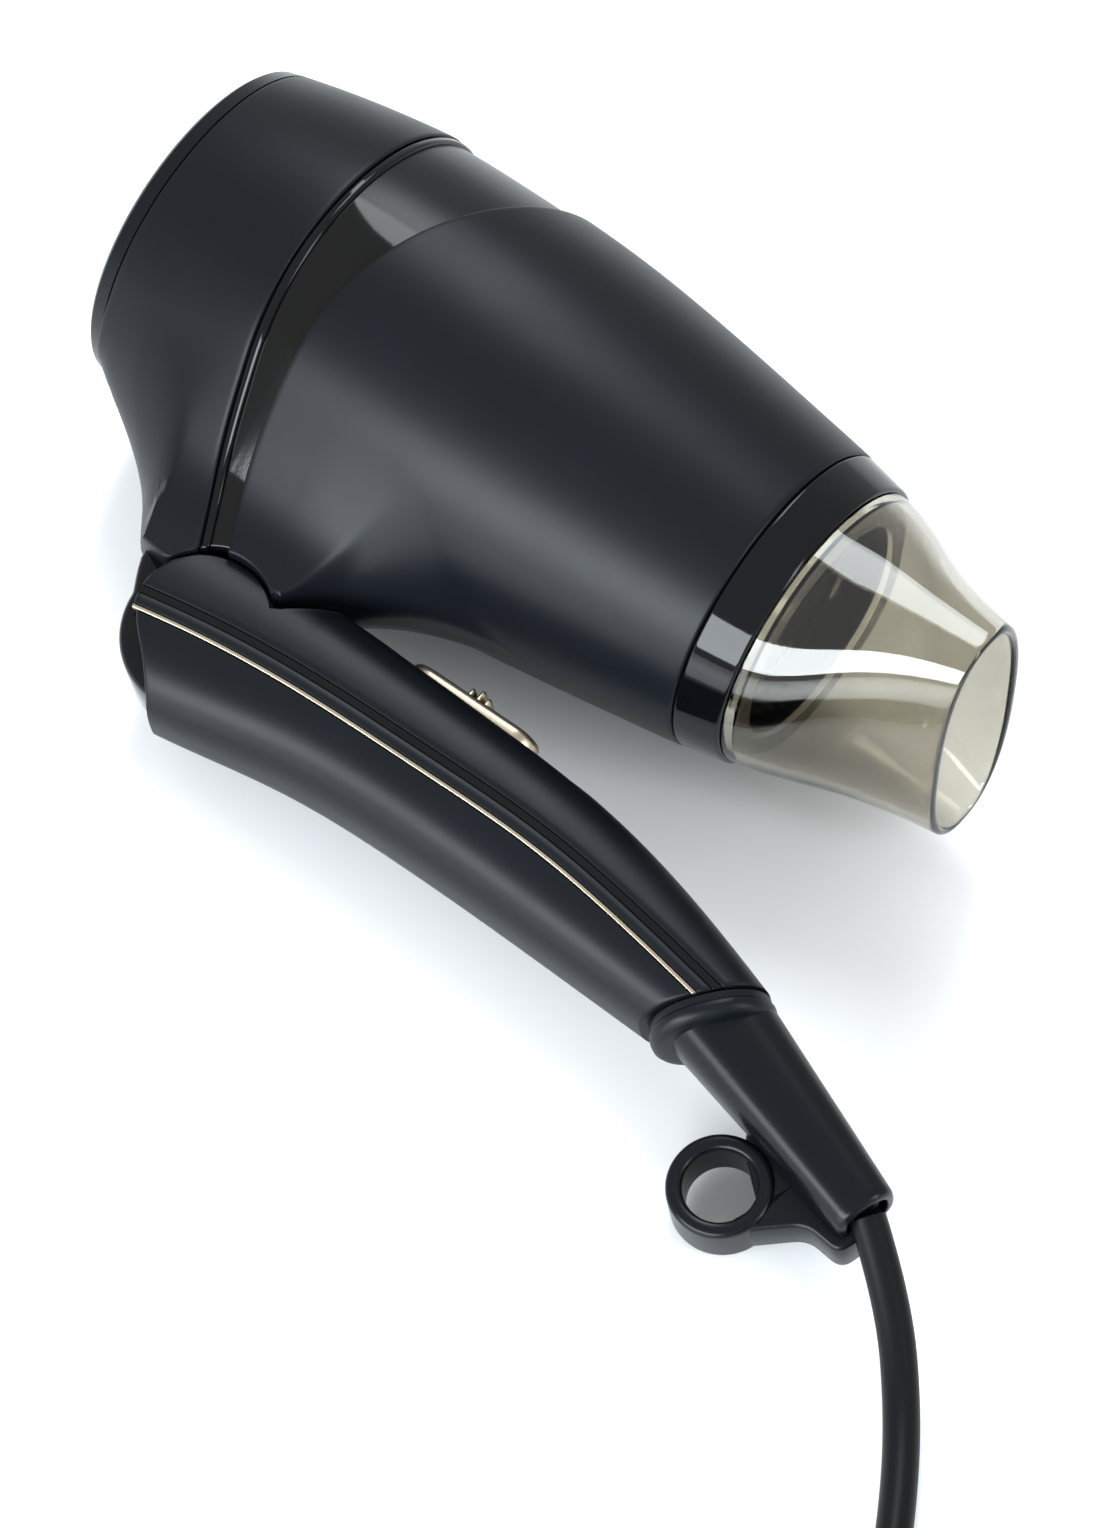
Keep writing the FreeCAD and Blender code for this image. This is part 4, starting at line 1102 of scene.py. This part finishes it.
# ------------------------------------------------------------------ cord end
@dataclass(frozen=True)
class CordEnd:
    """Oblique end collar, tapered strain relief and hang loop."""

    foot: tuple[float, float] = (172.4, -82.8)
    head: tuple[float, float] = (188.0, -64.8)
    tip: tuple[float, float] = (227.6, -88.7)
    direction: float = math.radians(-17.9)
    collar_half: float = 12.6       # half width of the handle's end
    collar_power: float = 2.3
    relief_length: float = 56.0
    relief_halves: tuple[float, float] = (10.5, 6.3)
    relief_power: float = 2.7
    relief_flat: float = 0.97       # width across over height
    loop: tuple[float, float] = (201.3, -99.2)
    loop_outer: float = 10.2
    loop_hole: float = 7.0
    loop_z: tuple[float, float] = (-12.4, -1.0)
    web_inset: tuple[float, float] = (0.7, 0.9)     # web's faces within the loop's

    def build(self) -> None:
        """Make the collar, relief, loop and web."""
        self.build_collar()
        self.build_relief()
        self.build_loop()

    def build_collar(self) -> None:
        """Stepped oval: sections grow and shrink along the normal of the handle's end."""
        foot, head = np.array(self.foot), np.array(self.head)
        half = np.linalg.norm(head - foot) / 2
        slope = (head - foot) / (2 * half)
        normal, middle = np.array([slope[1], -slope[0]]), (foot + head) / 2
        steps = np.array([(0.25, -9.0), (0.25, -0.6), (0.5, -0.3), (1.8, -0.4), (1.95, -0.1),
                          (2.3, 0.2), (3.2, 0.25), (4.1, 0.0), (4.8, -0.7), (5.1, -1.5),
                          (5.2, -2.6), (5.2, -9.0)])
        a, p = circle(96), 2 / self.collar_power
        u = signed_power(np.cos(a), p) * (half + steps[:, 1:])
        z = signed_power(np.sin(a), p) * (self.collar_half + steps[:, 1:])
        x = middle[0] + slope[0] * u + normal[0] * steps[:, :1]
        y = middle[1] + slope[1] * u + normal[1] * steps[:, :1]
        piece = grid_object("end_collar_skin", np.stack([x, y, z], -1), SATIN, "handle",
                            "satin_shell")
        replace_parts(piece, "end_collar")

    def build_relief(self) -> None:
        """Tapered relief: rounded-square sections along its axis, hollow at the tip.

        Each row has its place along the axis, counted from the tip, and how far it lies in
        from the taper: a cap at the wide end, the skin, the rim, and the hollow's wall and floor.
        """
        along = np.concatenate([[-50.0], np.linspace(-50, -1.2, 40), [-0.6, -0.18, 0.0, 0.0, -0.25,
                                                                     -0.8, -4.0, -4.0]])
        wide, narrow = self.relief_halves
        taper = wide + (narrow - wide) * (along + self.relief_length) / self.relief_length
        inset = np.concatenate([[taper[0]], np.zeros(40), [0.16, 0.55, 1.1, 1.6, 1.9, 2.1, 2.2],
                                [taper[-1]]])
        size = (taper - inset)[:, None]
        a, p = circle(72), 2 / self.relief_power
        v = signed_power(np.cos(a), p) * size
        z = signed_power(np.sin(a), p) * size * self.relief_flat
        c, s = math.cos(self.direction), math.sin(self.direction)
        x = self.tip[0] + along[:, None] * c - v * s
        y = self.tip[1] + along[:, None] * s + v * c
        piece = grid_object("relief_skin", np.stack([x, y, z], -1), SATIN_DARK, "handle",
                            "satin_shell")
        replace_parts(piece, "strain_relief")

    def build_loop(self) -> None:
        """Hang loop: a ring with rounded rims, turned about its own axis, and a flat web."""
        z0, z1 = self.loop_z
        profile = rounded([(self.loop_hole, z0), (self.loop_outer, z0), (self.loop_outer, z1),
                           (self.loop_hole, z1)], 1.5, 8)
        a = circle(96)
        r, z = profile[:, :1], profile[:, 1:]
        ring = np.stack([self.loop[0] + r * np.cos(a), self.loop[1] + r * np.sin(a), z + 0 * a], -1)
        piece = grid_object("hang_ring", ring, SATIN_DARK, "handle", "satin_shell",
                            close_rows=True)
        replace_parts(piece, "hang_loop")
        way = np.array([math.cos(self.direction), math.sin(self.direction)])
        side = np.array([-way[1], way[0]])
        tip = np.array(self.tip)
        far = [tuple(tip + way * d + side * p) for d, p in
               ((1.9, -8.2), (1.9, 2.6), (-4.0, 4.0), (-33.0, 2.0), (-31.5, -4.0))]
        corners = [*far, (self.loop[0] - 1.0, self.loop[1] + 8.4), (self.loop[0] + 9.2, self.loop[1]),
                   (self.loop[0] + 4.0, self.loop[1] - 8.6), (218.6, -96.2)]
        web = slab_points(rounded(corners, 2.6), z0 + self.web_inset[0], z1 - self.web_inset[1],
                          1.0)
        grid_object("hang_web", web, SATIN_DARK, "handle", "satin_shell")


# ------------------------------------------------------------------ pieces kept from the frame
KEPT_FINISH = {
    "intake_cover": SATIN_DARK, "lint_mesh": STEEL, "mesh_frame": INNER, "fan_duct": INNER,
    "fan_impeller": INNER, "motor_holder": INNER, "motor_can": STEEL, "motor_shaft": STEEL,
    "motor_terminals": BRASS, "heat_shield": MICA, "mica_board_flat": MICA,
    "mica_boards_upright": MICA, "heater_winding": WIRE, "thermostat": STEEL,
    "thermal_fuse": PALE, "outlet_grille": INNER, "neck_screws": STEEL, "handle_screws": STEEL,
    "switch_screws": STEEL, "pivot_pin": STEEL, "friction_washers": STEEL,
    "switch_module": INNER, "switch_bezel": GLOSS, "noise_capacitor": PALE,
    "rectifier_board": BOARD, "lead_clamp": INNER, "lead_inner": CORD, "plug_pins": BRASS}


def dress_kept_nodes() -> None:
    """Give each CAD node that still shows the finish of its real piece."""
    for name, finish in KEPT_FINISH.items():
        node = frame["nodes"][name]
        node.data.materials.clear()
        node.data.materials.append(material_of(finish))


# ------------------------------------------------------------------ studio
@dataclass(frozen=True)
class View:
    """Camera: aim point, direction, roll and lens."""

    aim: tuple[float, float, float] = (0.0122, -0.0194, 0.0321)
    azimuth: float = 32.04
    elevation: float = 55.32
    roll: float = 6.74
    distance: float = 1.5
    lens: float = 188.5

    def build(self) -> None:
        """Place the camera so that it looks at the aim point, rolled a little."""
        a, e, r = (math.radians(v) for v in (self.azimuth, self.elevation, self.roll))
        back = Vector((math.sin(a) * math.cos(e), -math.cos(a) * math.cos(e), math.sin(e)))
        level = Vector((math.cos(a), math.sin(a), 0))
        rise = back.cross(level)
        right, up = level * math.cos(r) + rise * math.sin(r), rise * math.cos(r) - level * math.sin(r)
        data = bpy.data.cameras.new("camera")
        data.lens, data.sensor_width = self.lens, 36.0
        data.clip_start, data.clip_end = 0.05, 20.0
        camera = bpy.data.objects.new("camera", data)
        turn = Matrix((right, up, back)).transposed().to_4x4()
        camera.matrix_world = Matrix.Translation(Vector(self.aim) + back * self.distance) @ turn
        bpy.context.scene.collection.objects.link(camera)
        bpy.context.scene.camera = camera


@dataclass(frozen=True)
class Softbox:
    """One soft light: where it stands, what it looks at, its size, strength and colour."""

    name: str
    place: tuple[float, float, float]
    aim: tuple[float, float, float]
    size: tuple[float, float]
    power: float
    colour: tuple[float, float, float] = (0.88, 0.95, 1.0)

    def build(self) -> None:
        """Add the area light, turned towards its aim."""
        data = bpy.data.lights.new(self.name, "AREA")
        data.shape, data.size, data.size_y = "RECTANGLE", *self.size
        data.energy, data.color = self.power, self.colour
        light = bpy.data.objects.new(self.name, data)
        light.location = self.place
        light.rotation_euler = (Vector(self.aim) - Vector(self.place)).to_track_quat("-Z", "Y").to_euler()
        bpy.context.scene.collection.objects.link(light)


SOFTBOXES = (
    Softbox("key", (0.05, -1.30, 0.42), (0.0, 0.0, 0.03), (1.3, 0.60), 40.0),
    Softbox("top", (-0.50, 0.70, 1.30), (0.0, 0.0, 0.0), (0.5, 0.9), 13.0),
    Softbox("right", (1.25, 0.10, 0.70), (0.0, 0.0, 0.02), (0.25, 0.9), 8.0),
)


def build_floor() -> None:
    """Pale table, slightly glossy, lit evenly by the room."""
    mesh = bpy.data.meshes.new("table")
    half = 6.0
    mesh.from_pydata([(-half, -half, 0), (half, -half, 0), (half, half, 0), (-half, half, 0)], [],
                     [(0, 1, 2, 3)])
    material = bpy.data.materials.new("table_white")
    material.use_nodes = True
    shader = material.node_tree.nodes["Principled BSDF"]
    shader.inputs["Base Color"].default_value = (0.93, 0.93, 0.93, 1)
    shader.inputs["Roughness"].default_value = 0.22
    shader.inputs["IOR"].default_value = 1.35
    mesh.materials.append(material)
    table = bpy.data.objects.new("table", mesh)
    bpy.context.scene.collection.objects.link(table)


def build_room() -> None:
    """Even pale surroundings, with colours shown as they are set."""
    world = bpy.data.worlds.new("room")
    world.use_nodes = True
    sky = world.node_tree.nodes["Background"]
    sky.inputs["Color"].default_value = (0.96, 0.98, 1.0, 1)
    sky.inputs["Strength"].default_value = 0.8
    bpy.context.scene.world = world
    bpy.context.scene.view_settings.view_transform = "Standard"


def main() -> None:
    """Build the scene: camera and lead first, then the dryer, then the studio."""
    logging.basicConfig(level=logging.INFO, format="%(name)s %(message)s")
    View().build()
    Lead().build()
    HEAD.build()
    Nozzle().build()
    HANDLE.build()
    Switch().build()
    CordEnd().build()
    dress_kept_nodes()
    build_floor()
    build_room()
    for softbox in SOFTBOXES:
        softbox.build()


if __name__ == "__main__":
    main()
